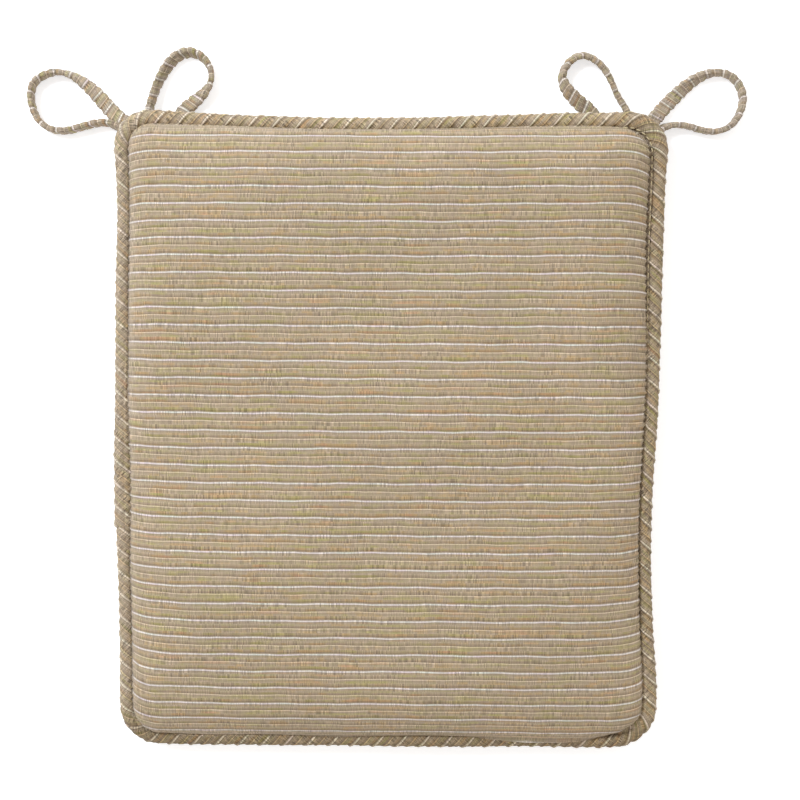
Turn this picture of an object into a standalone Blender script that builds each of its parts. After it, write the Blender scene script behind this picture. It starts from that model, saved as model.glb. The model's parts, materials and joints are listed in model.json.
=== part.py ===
"""Knife-edge chair seat pad with a corded welt, rear corner ties and a zipped cover.

Units are metres and +Z is up.  The pad lies on its underside, the origin is on that face
at the middle of the pad, and the rear edge, which carries the ties, faces +Y.

Every soft layer follows one rule: a stack of rings, each a rounded rectangle that is inset
from the seam line by a distance and held at a height.
"""

from math import atan2, cos, hypot, pi, radians, sin

import bmesh
import bpy
from mathutils import Vector

MM = 0.001

# The cover
PAD_WIDTH = 0.432
PAD_DEPTH = 0.508
WELT_RADIUS = 0.005
CORNER_RADIUS = 0.025
CORNER_SPREAD = 0.9
SIDE_PULL_IN = 0.002
REAR_PULL_IN = 0.004
PULL_IN_REACH = 0.020
SEAM_HEIGHT = 0.022
FABRIC = 0.001
GAP = 0.0003

# Where the welt's centre line runs
SEAM_HALF_X = PAD_WIDTH / 2 - WELT_RADIUS
SEAM_HALF_Y = PAD_DEPTH / 2 - WELT_RADIUS

# The welt: a strip wrapped round a filler cord, its two edges sewn into the seam
SEAM_ALLOWANCE = 0.0135
FLANGE_HALF = FABRIC + GAP / 2
WELT_CORD_RADIUS = 0.0034

# The cross-section of the pad
PANEL_INSET = WELT_RADIUS + GAP
FACE_BASE = SEAM_HEIGHT + FLANGE_HALF + GAP
FACE_RISE = 0.024
FACE_SHOULDER = 0.070
FACE_FULLNESS = 2.2
DOME_INSET = 0.140
DOME_RISE = 0.002
UNDER_BASE = SEAM_HEIGHT - FLANGE_HALF - GAP
UNDER_SHOULDER = 0.057
UNDER_FULLNESS = 1.5
SHOULDER_STEPS = (0.0, 0.02, 0.08, 0.18, 0.33, 0.55, 1.0)

# The filling, measured inwards from the outside of the cover
WRAP_START = FABRIC + GAP
WRAP_END = 0.0094
FOAM_START = WRAP_END + GAP

# Ring resolution
CORNER_STEPS = 5
SIDE_STEPS = 4

# The zip, across the underside near the rear edge
ZIP_INSET = 0.024
ZIP_OPENING = 0.230
ZIP_OPENING_HALF_WIDTH = 0.0056
ZIP_TAPE_END = 0.008
ZIP_TAPE_WIDTH = 0.0077
ZIP_TAPE_THICKNESS = 0.0005
ZIP_TAPE_LEVEL = 0.0023
ZIP_SLIT_HALF = 0.0008
ZIP_COIL_WIDTH = 0.0022
ZIP_COIL_LEVEL = 0.0
ZIP_COIL_THICKNESS = 0.002
ZIP_STOP_LENGTH = 0.0024
ZIP_STOP_HALF_WIDTH = 0.0034
ZIP_GROOVE_HALF_WIDTH = 0.0092
ZIP_GROOVE_DEPTH = 0.0048

# The slider, closed at the +X end of the zip
SLIDER_X = 0.104
SLIDER_LENGTH = 0.012
SLIDER_HALF_WIDTH = 0.005
SLIDER_OUTER_FACE = -0.0013
SLIDER_OUTER_PLATE = 0.001
SLIDER_INNER_FACE = 0.0031
SLIDER_INNER_PLATE = 0.0008
SLIDER_WEB_HALF = 0.0004
BRIDGE_LENGTH = 0.0064
BRIDGE_WIDTH = 0.0022
BRIDGE_HEIGHT = 0.0026
BRIDGE_WALL = 0.0008
BRIDGE_FOOT = 0.001

# The pull tab, turning on a bar under the slider's bridge
PIVOT_HEIGHT = 0.0009
PULL_THICKNESS = 0.001
PULL_HALF_WIDTH = 0.003
PULL_LENGTH = 0.024
PULL_BAR = 0.0005
PULL_WINDOW_END = 0.0042
PULL_WINDOW_HALF_WIDTH = 0.0017
PULL_END_STEPS = 6

# The ties: folded strips, sewn into the seam at the rear corners
TIE_RADIUS = 0.004
TIE_POINTS = 40

# Tie routes in millimetres, from the sewn end to the free end tucked under the pad
TIE_ROUTES = {
    "tie_left_side": (
        (-203, 241, 12.2), (-209, 245, 11.5), (-217, 251, 9.2), (-226, 260, 6), (-237, 272, 4.6),
        (-250, 282, 4.4), (-263, 286, 4.4), (-274, 284, 4.4), (-283, 278, 4.4), (-286, 269, 4.4),
        (-285, 259, 4.4), (-280, 248, 4.4), (-270, 241, 4.4), (-258, 240, 4.4), (-246, 243, 4.4),
        (-234, 246, 4.4), (-224, 246, 4.4), (-214, 241, 4.4), (-206, 232, 4.4), (-200, 220, 4.4),
        (-197, 205, 4.4), (-196, 188, 4.4),
    ),
    "tie_left_rear": (
        (-191, 247, 12), (-191, 253, 9.6), (-190, 262, 6), (-185, 277, 4.5), (-177, 291, 4.4),
        (-169, 299, 4.4), (-159, 302, 4.4), (-149, 298, 4.4), (-143, 289, 4.4), (-143, 279, 4.4),
        (-149, 270, 4.4), (-157, 263, 4.4), (-165, 256, 4.4), (-167, 247, 4.4), (-160, 239, 4.4),
        (-148, 237, 4.4), (-125, 237, 4.4), (-100, 237, 4.4), (-70, 237, 4.4),
    ),
    "tie_right_rear": (
        (191, 247, 12), (190, 253, 9.6), (187, 261, 6), (181, 271, 4.5), (176, 282, 4.4),
        (170, 292, 4.4), (162, 299, 4.4), (153, 302, 4.4), (145, 299, 4.4), (139, 292, 4.4),
        (137, 284, 4.4), (141, 275, 4.4), (150, 266, 4.4), (160, 258, 4.4), (164, 248, 4.4),
        (158, 240, 4.4), (146, 237, 4.4), (125, 237, 4.4), (100, 237, 4.4), (70, 237, 4.4),
    ),
    "tie_right_side": (
        (203, 241, 12.2), (207, 247, 11.2), (213, 255, 8.8), (221, 264, 6), (232, 275, 4.6),
        (242, 283, 4.4), (253, 288, 4.4), (264, 289, 4.4), (273, 285, 4.4), (279, 277, 4.4),
        (281, 267, 4.4), (278, 256, 4.4), (271, 247, 4.4), (260, 243, 4.4), (249, 244, 4.4),
        (238, 247, 4.4), (227, 248, 4.4), (217, 245, 4.4), (208, 237, 4.4), (202, 226, 4.4),
        (198, 212, 4.4), (196, 196, 4.4),
    ),
}

# Colour, roughness and metallic value of each kind of material
FACE_FABRIC = ((0.45, 0.37, 0.26), 0.90, 0.0)
WELT_FABRIC = ((0.43, 0.35, 0.23), 0.90, 0.0)
COTTON_CORD = ((0.75, 0.71, 0.62), 0.95, 0.0)
FOAM = ((0.80, 0.74, 0.52), 0.95, 0.0)
FIBRE = ((0.85, 0.85, 0.83), 1.00, 0.0)
ZIP_TAPE = ((0.46, 0.38, 0.27), 0.85, 0.0)
ZIP_COIL = ((0.40, 0.33, 0.23), 0.45, 0.0)
ZIP_METAL = ((0.55, 0.53, 0.50), 0.35, 1.0)

PLAN_CORNERS = ((1, 1), (-1, 1), (-1, -1), (1, -1))


def clear_scene():
    for item in list(bpy.data.objects):
        bpy.data.objects.remove(item, do_unlink=True)


def material(name, look):
    colour, roughness, metallic = look
    made = bpy.data.materials.new(name)
    made.use_nodes = True
    shader = made.node_tree.nodes["Principled BSDF"]
    shader.inputs["Base Color"].default_value = (*colour, 1.0)
    shader.inputs["Roughness"].default_value = roughness
    shader.inputs["Metallic"].default_value = metallic
    made.diffuse_color = (*colour, 1.0)
    return made


def add_mesh(name, bm, look, smooth_degrees=None, parent=None):
    """Turn a bmesh into a named object with its own material."""
    bmesh.ops.recalc_face_normals(bm, faces=bm.faces)
    mesh = bpy.data.meshes.new(name)
    bm.to_mesh(mesh)
    bm.free()
    if smooth_degrees is not None:
        mesh.shade_smooth()
        mesh.set_sharp_from_angle(angle=radians(smooth_degrees))
    mesh.materials.append(material(name, look))
    made = bpy.data.objects.new(name, mesh)
    made.parent = parent
    bpy.context.scene.collection.objects.link(made)
    return made


def add_empty(name, location, tilt=0.0, parent=None):
    made = bpy.data.objects.new(name, None)
    made.location = location
    made.rotation_euler = (tilt, 0.0, 0.0)
    made.parent = parent
    bpy.context.scene.collection.objects.link(made)
    return made


def cut(target, cutter):
    cutter.hide_render = True
    cutter.display_type = "WIRE"
    step = target.modifiers.new("cut_" + cutter.name, "BOOLEAN")
    step.operation = "DIFFERENCE"
    step.object = cutter


# Rings, from which every soft layer is lofted


def pulled_in(x, y, inset, straight_x, straight_y):
    """Draw the middle of the sides and of the rear edge inwards, near the seam only."""
    fade = max(0.0, 1.0 - max(inset, 0.0) / PULL_IN_REACH)
    if abs(x) < straight_x and y > 0.0:
        y -= REAR_PULL_IN * fade * (1.0 - (x / straight_x) ** 2) ** 2
    if abs(y) < straight_y:
        bow = SIDE_PULL_IN * fade * (1.0 - (y / straight_y) ** 2) ** 2
        x -= bow if x > 0.0 else -bow
    return x, y


def ring(inset, height):
    """One turn round the pad, anticlockwise, inset from the seam line."""
    half_x = SEAM_HALF_X - inset
    half_y = SEAM_HALF_Y - inset
    radius = min(hypot(CORNER_RADIUS - inset, CORNER_SPREAD * inset), 0.9 * half_x)
    corners = []
    for quarter, (side_x, side_y) in enumerate(PLAN_CORNERS):
        arc = []
        for step in range(CORNER_STEPS + 1):
            angle = (quarter + step / CORNER_STEPS) * pi / 2
            x = side_x * (half_x - radius) + radius * cos(angle)
            y = side_y * (half_y - radius) + radius * sin(angle)
            arc.append((x, y))
        corners.append(arc)
    points = []
    for quarter, arc in enumerate(corners):
        points.extend(arc)
        start = Vector(arc[-1])
        end = Vector(corners[(quarter + 1) % 4][0])
        for step in range(1, SIDE_STEPS):
            points.append(tuple(start.lerp(end, step / SIDE_STEPS)))
    bowed = (pulled_in(x, y, inset, half_x - radius, half_y - radius) for x, y in points)
    return [Vector((x, y, height)) for x, y in bowed]


def loft(rings, joined_ends=False):
    """Skin a list of rings.  The ends are capped, or joined to each other for a ring-shaped body."""
    bm = bmesh.new()
    loops = [[bm.verts.new(point) for point in points] for points in rings]
    pairs = list(zip(loops, loops[1:]))
    if joined_ends:
        pairs.append((loops[-1], loops[0]))
    for first, second in pairs:
        for index in range(len(first)):
            after = (index + 1) % len(first)
            bm.faces.new((first[index], first[after], second[after], second[index]))
    if not joined_ends:
        bm.faces.new(loops[0])
        bm.faces.new(loops[-1])
    return bm


def bulge(step, fullness):
    """How far a shoulder has risen, 0 to 1, at a step from its foot at 0 to its top at 1."""
    return (1.0 - (1.0 - step) ** fullness) ** (1.0 / fullness)


def face_rings(depth):
    """The upper surface of the pad at a depth inside the cover, from the seam to the crown."""
    rings = []
    for step in SHOULDER_STEPS:
        inset = PANEL_INSET + depth + (FACE_SHOULDER - depth) * step
        height = FACE_BASE + (FACE_RISE - depth) * bulge(step, FACE_FULLNESS)
        rings.append(ring(inset, height))
    rings.append(ring(DOME_INSET, FACE_BASE + FACE_RISE - depth + DOME_RISE))
    return rings


def under_height(depth, step):
    return depth + (UNDER_BASE - depth) * (1.0 - bulge(step, UNDER_FULLNESS))


def under_rings(depth):
    """The lower surface of the pad at a depth inside the cover, from the seam to the flat."""
    rings = []
    for step in SHOULDER_STEPS:
        inset = PANEL_INSET + depth + (UNDER_SHOULDER - depth) * step
        rings.append(ring(inset, under_height(depth, step)))
    return rings


def layer(rings_at, outer, inner):
    """The body between two depths of the upper or the lower surface."""
    return loft(rings_at(outer)[::-1] + rings_at(inner))


# The cover


def make_face_panel():
    add_mesh("face_panel", layer(face_rings, 0.0, FABRIC), FACE_FABRIC, 40)


def zip_line():
    """The point of the underside where the zip runs, as y and z, and the slope there."""
    step = (ZIP_INSET - PANEL_INSET) / UNDER_SHOULDER
    nearby = 0.01
    drop = under_height(0.0, step) - under_height(0.0, step + nearby)
    return SEAM_HALF_Y - ZIP_INSET, under_height(0.0, step), atan2(drop, nearby * UNDER_SHOULDER)


def zip_cutter(name, side):
    """A prism over everything on one side of the zip, wider along the zip's opening."""
    y, _, slope = zip_line()
    mouth = ZIP_OPENING / 2
    seam = y - side * GAP / 2
    edge = y - side * ZIP_OPENING_HALF_WIDTH * cos(slope)
    outline = [(-PAD_WIDTH, seam), (-mouth, seam), (-mouth, edge), (mouth, edge), (mouth, seam)]
    outline += [(PAD_WIDTH, seam), (PAD_WIDTH, side * PAD_DEPTH), (-PAD_WIDTH, side * PAD_DEPTH)]
    body = prism(outline, lambda a, b: Vector((a, b, -PAD_WIDTH)), Vector((0.0, 0.0, 2 * PAD_WIDTH)))
    return add_mesh(name, body, FACE_FABRIC)


def make_underside_panels():
    """The underside is two panels, which meet in a seam and part at the zip's opening."""
    for name, side in (("underside_front_panel", 1), ("underside_rear_panel", -1)):
        panel = add_mesh(name, layer(under_rings, 0.0, FABRIC), FACE_FABRIC)
        cut(panel, zip_cutter(name + "_cutter", side))


def arc_points(radius, start, end, steps):
    """Points of an arc about the welt's centre, as inset and height.  Angle 0 faces the pad."""
    points = []
    for step in range(steps + 1):
        angle = start + (end - start) * step / steps
        points.append((radius * cos(angle), SEAM_HEIGHT + radius * sin(angle)))
    return points


def make_welt_cover():
    """A strip round the cord with both edges side by side, open along its slit."""
    outer = atan2(FLANGE_HALF, WELT_RADIUS)
    inner_radius = WELT_RADIUS - FABRIC
    inner = atan2(GAP / 2, inner_radius)
    section = [(SEAM_ALLOWANCE, SEAM_HEIGHT + FLANGE_HALF)]
    section += arc_points(WELT_RADIUS, outer, 2 * pi - outer, 10)
    section += [(SEAM_ALLOWANCE, SEAM_HEIGHT - FLANGE_HALF), (SEAM_ALLOWANCE, SEAM_HEIGHT - GAP / 2)]
    section += arc_points(inner_radius, 2 * pi - inner, inner, 9)
    section += [(SEAM_ALLOWANCE, SEAM_HEIGHT + GAP / 2)]
    rings = [ring(inset, height) for inset, height in section]
    add_mesh("welt_cover", loft(rings, joined_ends=True), WELT_FABRIC, 60)


def make_welt_cord():
    section = arc_points(WELT_CORD_RADIUS, 0.0, 2 * pi, 8)[:-1]
    rings = [ring(inset, height) for inset, height in section]
    add_mesh("welt_cord", loft(rings, joined_ends=True), COTTON_CORD, 60)


# The filling


def make_foam_core():
    rings = face_rings(FOAM_START)[::-1] + under_rings(FOAM_START)
    add_mesh("foam_core", loft(rings), FOAM, 40)


def make_fibre_wraps(zip_frame):
    add_mesh("fibre_wrap_top", layer(face_rings, WRAP_START, WRAP_END), FIBRE, 40)
    bottom = add_mesh("fibre_wrap_bottom", layer(under_rings, WRAP_START, WRAP_END), FIBRE)
    groove_end = ZIP_OPENING / 2 + ZIP_TAPE_END + GAP
    low = (-groove_end, -ZIP_GROOVE_HALF_WIDTH, -ZIP_GROOVE_DEPTH)
    high = (groove_end, ZIP_GROOVE_HALF_WIDTH, ZIP_GROOVE_DEPTH)
    cut(bottom, add_mesh("zip_groove_cutter", block(low, high), FIBRE, parent=zip_frame))


# The zip.  Its frame has +X along the zip, +Y up the slope and +Z into the pad


def block(low, high):
    """A box between two corners."""
    bm = bmesh.new()
    corners = [(high[0], low[1]), (high[0], high[1]), (low[0], high[1]), (low[0], low[1])]
    base = bm.faces.new([bm.verts.new((x, y, low[2])) for x, y in corners])
    grown = bmesh.ops.extrude_face_region(bm, geom=[base])["geom"]
    roof = [item for item in grown if isinstance(item, bmesh.types.BMVert)]
    bmesh.ops.translate(bm, verts=roof, vec=(0.0, 0.0, high[2] - low[2]))
    return bm


def prism(outline, place, sweep):
    """Extrude a closed outline of 2-D points, set in space by place, along sweep."""
    first = [place(a, b) for a, b in outline]
    return loft([first, [point + sweep for point in first]])


def add_bevel(item, width):
    step = item.modifiers.new("softened_edges", "BEVEL")
    step.width = width
    step.segments = 1
    step.limit_method = "ANGLE"
    step.angle_limit = radians(40)


def make_zip_tapes(zip_frame):
    half_length = ZIP_OPENING / 2 + ZIP_TAPE_END
    top = ZIP_TAPE_LEVEL + ZIP_TAPE_THICKNESS
    for name, side in (("zip_tape_rear", 1), ("zip_tape_front", -1)):
        near, far = sorted((side * ZIP_SLIT_HALF, side * (ZIP_SLIT_HALF + ZIP_TAPE_WIDTH)))
        low = (-half_length, near, ZIP_TAPE_LEVEL)
        add_mesh(name, block(low, (half_length, far, top)), ZIP_TAPE, parent=zip_frame)


def make_zip_coils(zip_frame):
    half_length = ZIP_OPENING / 2 - ZIP_STOP_LENGTH - 2 * GAP
    top = ZIP_COIL_LEVEL + ZIP_COIL_THICKNESS
    for name, side in (("zip_coil_rear", 1), ("zip_coil_front", -1)):
        near, far = sorted((side * ZIP_SLIT_HALF, side * (ZIP_SLIT_HALF + ZIP_COIL_WIDTH)))
        low = (-half_length, near, ZIP_COIL_LEVEL)
        coil = add_mesh(name, block(low, (half_length, far, top)), ZIP_COIL, 30, zip_frame)
        add_bevel(coil, 0.0005)


def make_zip_stops(zip_frame):
    end = ZIP_OPENING / 2 - GAP
    top = ZIP_COIL_LEVEL + ZIP_COIL_THICKNESS
    for name, side in (("zip_stop_right", 1), ("zip_stop_left", -1)):
        near, far = sorted((side * (end - ZIP_STOP_LENGTH), side * end))
        low = (near, -ZIP_STOP_HALF_WIDTH, ZIP_COIL_LEVEL)
        high = (far, ZIP_STOP_HALF_WIDTH, top)
        stop = add_mesh(name, block(low, high), ZIP_METAL, 30, zip_frame)
        add_bevel(stop, 0.0004)


def make_zip_slider(zip_frame):
    """Two plates, one each side of the coils, joined by a web in the slit, and a bridge."""
    wide = SLIDER_HALF_WIDTH
    web = SLIDER_WEB_HALF
    outer = SLIDER_OUTER_FACE
    outer_top = outer + SLIDER_OUTER_PLATE
    inner = SLIDER_INNER_FACE
    inner_top = inner + SLIDER_INNER_PLATE
    half = [(wide, outer), (wide, outer_top), (web, outer_top)]
    half += [(web, inner), (wide, inner), (wide, inner_top)]
    outline = half + [(-y, z) for y, z in reversed(half)]
    start = -SLIDER_LENGTH / 2
    body = prism(outline, lambda y, z: Vector((start, y, z)), Vector((SLIDER_LENGTH, 0.0, 0.0)))
    slider = add_mesh("zip_slider", body, ZIP_METAL, 30, zip_frame)
    slider.location.x = SLIDER_X

    span = BRIDGE_LENGTH / 2
    rise = outer - BRIDGE_HEIGHT
    foot = outer + SLIDER_OUTER_PLATE / 2
    inside = span - BRIDGE_FOOT
    under = rise + BRIDGE_WALL
    arch = [(-span, foot), (-span, rise), (span, rise), (span, foot)]
    arch += [(inside, foot), (inside, under), (-inside, under), (-inside, foot)]
    side = -BRIDGE_WIDTH / 2
    bridge = prism(arch, lambda x, z: Vector((x, side, z)), Vector((0.0, BRIDGE_WIDTH, 0.0)))
    arch_piece = add_mesh("bridge_guide", bridge, ZIP_METAL, parent=slider)
    arch_piece.hide_render = True
    arch_piece.display_type = "WIRE"
    joined = slider.modifiers.new("bridge", "BOOLEAN")
    joined.operation = "UNION"
    joined.object = arch_piece
    return slider


def make_zip_pull(zip_frame):
    """A flat tab with a round end, whose window leaves a bar that turns under the bridge."""
    level = SLIDER_OUTER_FACE - PIVOT_HEIGHT
    pivot = add_empty("zip_pull_pivot", (SLIDER_X, 0.0, level), parent=zip_frame)
    tip = PULL_HALF_WIDTH - PULL_LENGTH
    outline = [(PULL_BAR, -PULL_HALF_WIDTH), (PULL_BAR, PULL_HALF_WIDTH)]
    for step in range(PULL_END_STEPS + 1):
        angle = pi / 2 + pi * step / PULL_END_STEPS
        outline.append((tip + PULL_HALF_WIDTH * cos(angle), PULL_HALF_WIDTH * sin(angle)))
    bottom = -PULL_THICKNESS / 2
    tab = prism(outline, lambda x, y: Vector((x, y, bottom)), Vector((0.0, 0.0, PULL_THICKNESS)))
    pull = add_mesh("zip_pull", tab, ZIP_METAL, 30, pivot)
    low = (-PULL_WINDOW_END, -PULL_WINDOW_HALF_WIDTH, -PULL_THICKNESS)
    window = block(low, (-PULL_BAR, PULL_WINDOW_HALF_WIDTH, PULL_THICKNESS))
    cut(pull, add_mesh("pull_window_cutter", window, ZIP_METAL, parent=pivot))


# The ties


def smooth_route(route, count):
    """Points at even spacing along a Catmull-Rom curve through the route's own points."""
    knots = [Vector(point) * MM for point in route]
    knots = [2 * knots[0] - knots[1], *knots, 2 * knots[-1] - knots[-2]]
    fine = []
    for before, start, end, after in zip(knots, knots[1:], knots[2:], knots[3:]):
        for step in range(12):
            t = step / 12
            curve = 2 * start + (end - before) * t
            curve += (2 * before - 5 * start + 4 * end - after) * t * t
            curve += (3 * start - before - 3 * end + after) * t ** 3
            fine.append(curve / 2)
    fine.append(knots[-2])
    travelled = [0.0]
    for first, second in zip(fine, fine[1:]):
        travelled.append(travelled[-1] + (second - first).length)
    points = []
    span = 0
    for step in range(count):
        target = travelled[-1] * step / (count - 1)
        while span < len(fine) - 2 and travelled[span + 1] < target:
            span += 1
        share = (target - travelled[span]) / (travelled[span + 1] - travelled[span])
        points.append(fine[span].lerp(fine[span + 1], share))
    return points


def make_tie(name, route):
    curve = bpy.data.curves.new(name, "CURVE")
    curve.dimensions = "3D"
    curve.bevel_depth = TIE_RADIUS
    curve.bevel_resolution = 2
    curve.use_fill_caps = True
    line = curve.splines.new("POLY")
    line.points.add(TIE_POINTS - 1)
    for point, place in zip(line.points, smooth_route(route, TIE_POINTS)):
        point.co = (*place, 1.0)
    curve.materials.append(material(name, WELT_FABRIC))
    bpy.context.scene.collection.objects.link(bpy.data.objects.new(name, curve))


def main():
    clear_scene()
    make_face_panel()
    make_underside_panels()
    make_welt_cover()
    make_welt_cord()
    make_foam_core()
    y, z, slope = zip_line()
    zip_frame = add_empty("zip_frame", (0.0, y, z), slope)
    make_fibre_wraps(zip_frame)
    make_zip_tapes(zip_frame)
    make_zip_coils(zip_frame)
    make_zip_stops(zip_frame)
    make_zip_slider(zip_frame)
    make_zip_pull(zip_frame)
    for name, route in TIE_ROUTES.items():
        make_tie(name, route)


main()
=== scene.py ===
"""The looks of the chair seat pad: striped cloth, bias welt, folded ties, filling and zip.

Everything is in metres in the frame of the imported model: +Z up, the rear edge with the ties
at +Y.  Cloth pieces carry a "cloth" attribute, the place of each point on the flat cloth in
metres: along the stripes, across them, and a third number that sets pieces apart.
"""

import json
from math import cos, hypot, pi, radians, sin, sqrt, tan

import bmesh
import bpy
import numpy as np
from mathutils import Matrix, Vector


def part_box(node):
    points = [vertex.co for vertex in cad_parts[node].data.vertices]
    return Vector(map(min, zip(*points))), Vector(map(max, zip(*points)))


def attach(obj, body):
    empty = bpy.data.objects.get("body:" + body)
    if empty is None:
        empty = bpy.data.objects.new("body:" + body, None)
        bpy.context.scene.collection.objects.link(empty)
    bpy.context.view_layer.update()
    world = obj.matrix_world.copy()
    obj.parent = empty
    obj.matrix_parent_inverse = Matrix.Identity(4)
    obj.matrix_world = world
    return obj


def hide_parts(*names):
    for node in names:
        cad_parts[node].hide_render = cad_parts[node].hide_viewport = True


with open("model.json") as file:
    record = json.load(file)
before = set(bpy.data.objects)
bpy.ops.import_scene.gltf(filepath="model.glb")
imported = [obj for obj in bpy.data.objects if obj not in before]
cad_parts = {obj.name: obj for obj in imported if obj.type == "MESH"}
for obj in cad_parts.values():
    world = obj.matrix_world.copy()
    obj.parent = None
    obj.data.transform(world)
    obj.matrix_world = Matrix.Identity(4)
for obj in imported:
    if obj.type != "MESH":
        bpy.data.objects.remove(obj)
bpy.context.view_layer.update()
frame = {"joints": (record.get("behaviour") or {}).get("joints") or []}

MM = 0.001
UP = np.array((0.0, 0.0, 1.0))

# Sizes read from the frame
WELT_LOW, WELT_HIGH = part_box("welt_cover")
FACE_LOW, FACE_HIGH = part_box("face_panel")
WELT_RADIUS = (WELT_HIGH.z - WELT_LOW.z) / 2
SEAM_HEIGHT = (WELT_HIGH.z + WELT_LOW.z) / 2
SEAM_INSET = 0.005
SEAM_HALF_X = WELT_HIGH.x - SEAM_INSET
SEAM_HALF_Y = WELT_HIGH.y - SEAM_INSET
PANEL_INSET = SEAM_HALF_X - FACE_HIGH.x
PANEL_HALF_X = SEAM_HALF_X - PANEL_INSET
PANEL_HALF_Y = SEAM_HALF_Y - PANEL_INSET
CROWN = FACE_HIGH.z
UNDER_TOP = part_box("underside_front_panel")[1].z

# The pad's cross-section, as the solids have it
CORNER_RADIUS = 0.025
CORNER_SPREAD = 0.9
DOME_RISE = 0.002
DOME_INSET = 0.140
FACE_SHOULDER = 0.070
FACE_FULLNESS = 2.2
UNDER_SHOULDER = 0.057
UNDER_FULLNESS = 1.5
CLOTH_THICKNESS = 0.0009

# Numbers that set the pieces of cloth apart, so that each has streaks of its own
FACE_NUMBER = 0.0
WELT_NUMBER = 3.0
UNDERSIDE_NUMBER = 7.0
FIRST_TIE_NUMBER = 11.0
TIE_NUMBER_STEP = 5.0

# The woven stripe, and where mesh rows lie within one repeat: close together at lines and grooves
STRIPE = 0.01365
FACE_STRIPE_START = 0.0046
UNDER_STRIPE_START = 0.37 * STRIPE
FACE_COLUMNS = 78
UNDER_COLUMNS = 90
FACE_ROWS = (
    0.0, 0.04, 0.09, 0.18, 0.28, 0.35, 0.40, 0.44, 0.47, 0.50, 0.55, 0.65, 0.75, 0.82, 0.88, 0.93, 0.965,
)
UNDER_ROWS = (0.0, 0.13, 0.27, 0.40, 0.50, 0.63, 0.76, 0.88)

# How much the cloth gives towards the rear edge, and how much of its own length it uses where it
# laps past its seam line: the rest is gathered
REAR_SLACK = 0.0021
LAP_EASE = 0.2

# The zip's opening: half its length, and where its two lips and the meeting of the panels lie
MOUTH = 0.115
LIP_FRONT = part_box("zip_slider")[0].y + 0.0006
LIP_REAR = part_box("zip_slider")[1].y + 0.0004
LIP_MIDDLE = (LIP_FRONT + LIP_REAR) / 2
PANELS_MEET = (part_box("underside_front_panel")[1].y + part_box("underside_rear_panel")[0].y) / 2

# The camera of a product shot, nearly overhead and a little behind the pad's middle
CAMERA_PLACE = (0.0097, 0.0993, 1.024)
CAMERA_PITCH = -4.1
CAMERA_ROLL = 0.41
CAMERA_FIELD = 35.25

# A lit floor, a soft lamp from the left rear, and a surround that is darker and warmer in front
FLOOR_SIZE = 14.0
FLOOR_LEVEL = -0.0002
FLOOR_PALE = (0.93, 0.93, 0.93)
FLOOR_GLOW = (0.92, 0.97, 1.06)
FLOOR_GLOW_STRENGTH = 0.48
KEY_PLACE = (-1.1, 1.05, 1.65)
KEY_SIZE = 0.7
KEY_POWER = 29.5
KEY_COLOUR = (0.90, 0.97, 1.06)
SURROUND_FRONT = (0.43, 0.38, 0.32)
SURROUND_REAR = (1.11, 1.07, 0.99)

# Tie routes in millimetres, from the sewn end to the free end tucked under the pad.  Points
# without a height are at the level of a tie that lies on the floor
TIE_ROUTES = {
    "tie_left_side": (
        (-203, 241, 12.2), (-209, 245, 11.5), (-217, 251, 9.2), (-226, 260, 6), (-237, 272, 4.6),
        (-250, 282), (-263, 286), (-274, 284), (-283, 278), (-286, 269), (-285, 259), (-280, 248),
        (-270, 241), (-258, 240), (-246, 243), (-234, 246), (-224, 246), (-214, 241), (-206, 232),
        (-200, 220), (-197, 205), (-196, 188),
    ),
    "tie_left_rear": (
        (-191, 247, 12), (-191, 253, 9.6), (-190, 262, 6), (-185, 277, 4.5), (-177, 291), (-169, 299),
        (-159, 302), (-149, 298), (-143, 289), (-143, 279), (-149, 270), (-157, 263), (-165, 256),
        (-167, 247), (-160, 239), (-148, 237), (-125, 237), (-100, 237), (-70, 237),
    ),
    "tie_right_rear": (
        (191, 247, 12), (190, 253, 9.6), (187, 261, 6), (181, 271, 4.5), (176, 282), (170, 292),
        (162, 299), (153, 302), (145, 299), (139, 292), (137, 284), (141, 275), (150, 266), (160, 258),
        (164, 248), (158, 240), (146, 237), (125, 237), (100, 237), (70, 237),
    ),
    "tie_right_side": (
        (203, 241, 12.2), (207, 247, 11.2), (213, 255, 8.8), (221, 264, 6), (232, 275, 4.6),
        (242, 283), (253, 288), (264, 289), (273, 285), (279, 277), (281, 267), (278, 256), (271, 247),
        (260, 243), (249, 244), (238, 247), (227, 248), (217, 245), (208, 237), (202, 226), (198, 212),
        (196, 196),
    ),
}
TIE_REST_LEVEL = 4.4
TIE_WIDTH = 0.011
TIE_THICKNESS = 0.0043

# How far each tie is turned on edge, 0 flat to 1 on edge, at shares of its length
TIE_TWISTS = {
    "tie_left_side": (
        (0, 0.0), (0.12, 0.05), (0.24, 0.75), (0.32, 1.0), (0.72, 0.95), (0.8, 0.7), (1, 0.1),
    ),
    "tie_left_rear": (
        (0, 0.95), (0.12, 0.9), (0.2, 0.72), (0.3, 0.8), (0.4, 0.95), (0.46, 0.55), (0.54, 0.05), (1, 0.0),
    ),
    "tie_right_rear": (
        (0, 0.95), (0.12, 0.9), (0.2, 0.75), (0.3, 0.78), (0.4, 0.9), (0.46, 0.5), (0.54, 0.05), (1, 0.0),
    ),
    "tie_right_side": (
        (0, 0.0), (0.14, 0.08), (0.24, 0.6), (0.32, 1.0), (0.72, 0.95), (0.82, 0.7), (1, 0.1),
    ),
}

# How much paler and how much darker each tie is made, in the order of their routes
TIE_LIGHTENED = (0.0, 0.0, 0.0, 0.15)
TIE_DARKENED = (0.0, 0.0, 0.2, 0.0)


# Camera, floor and light


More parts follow.
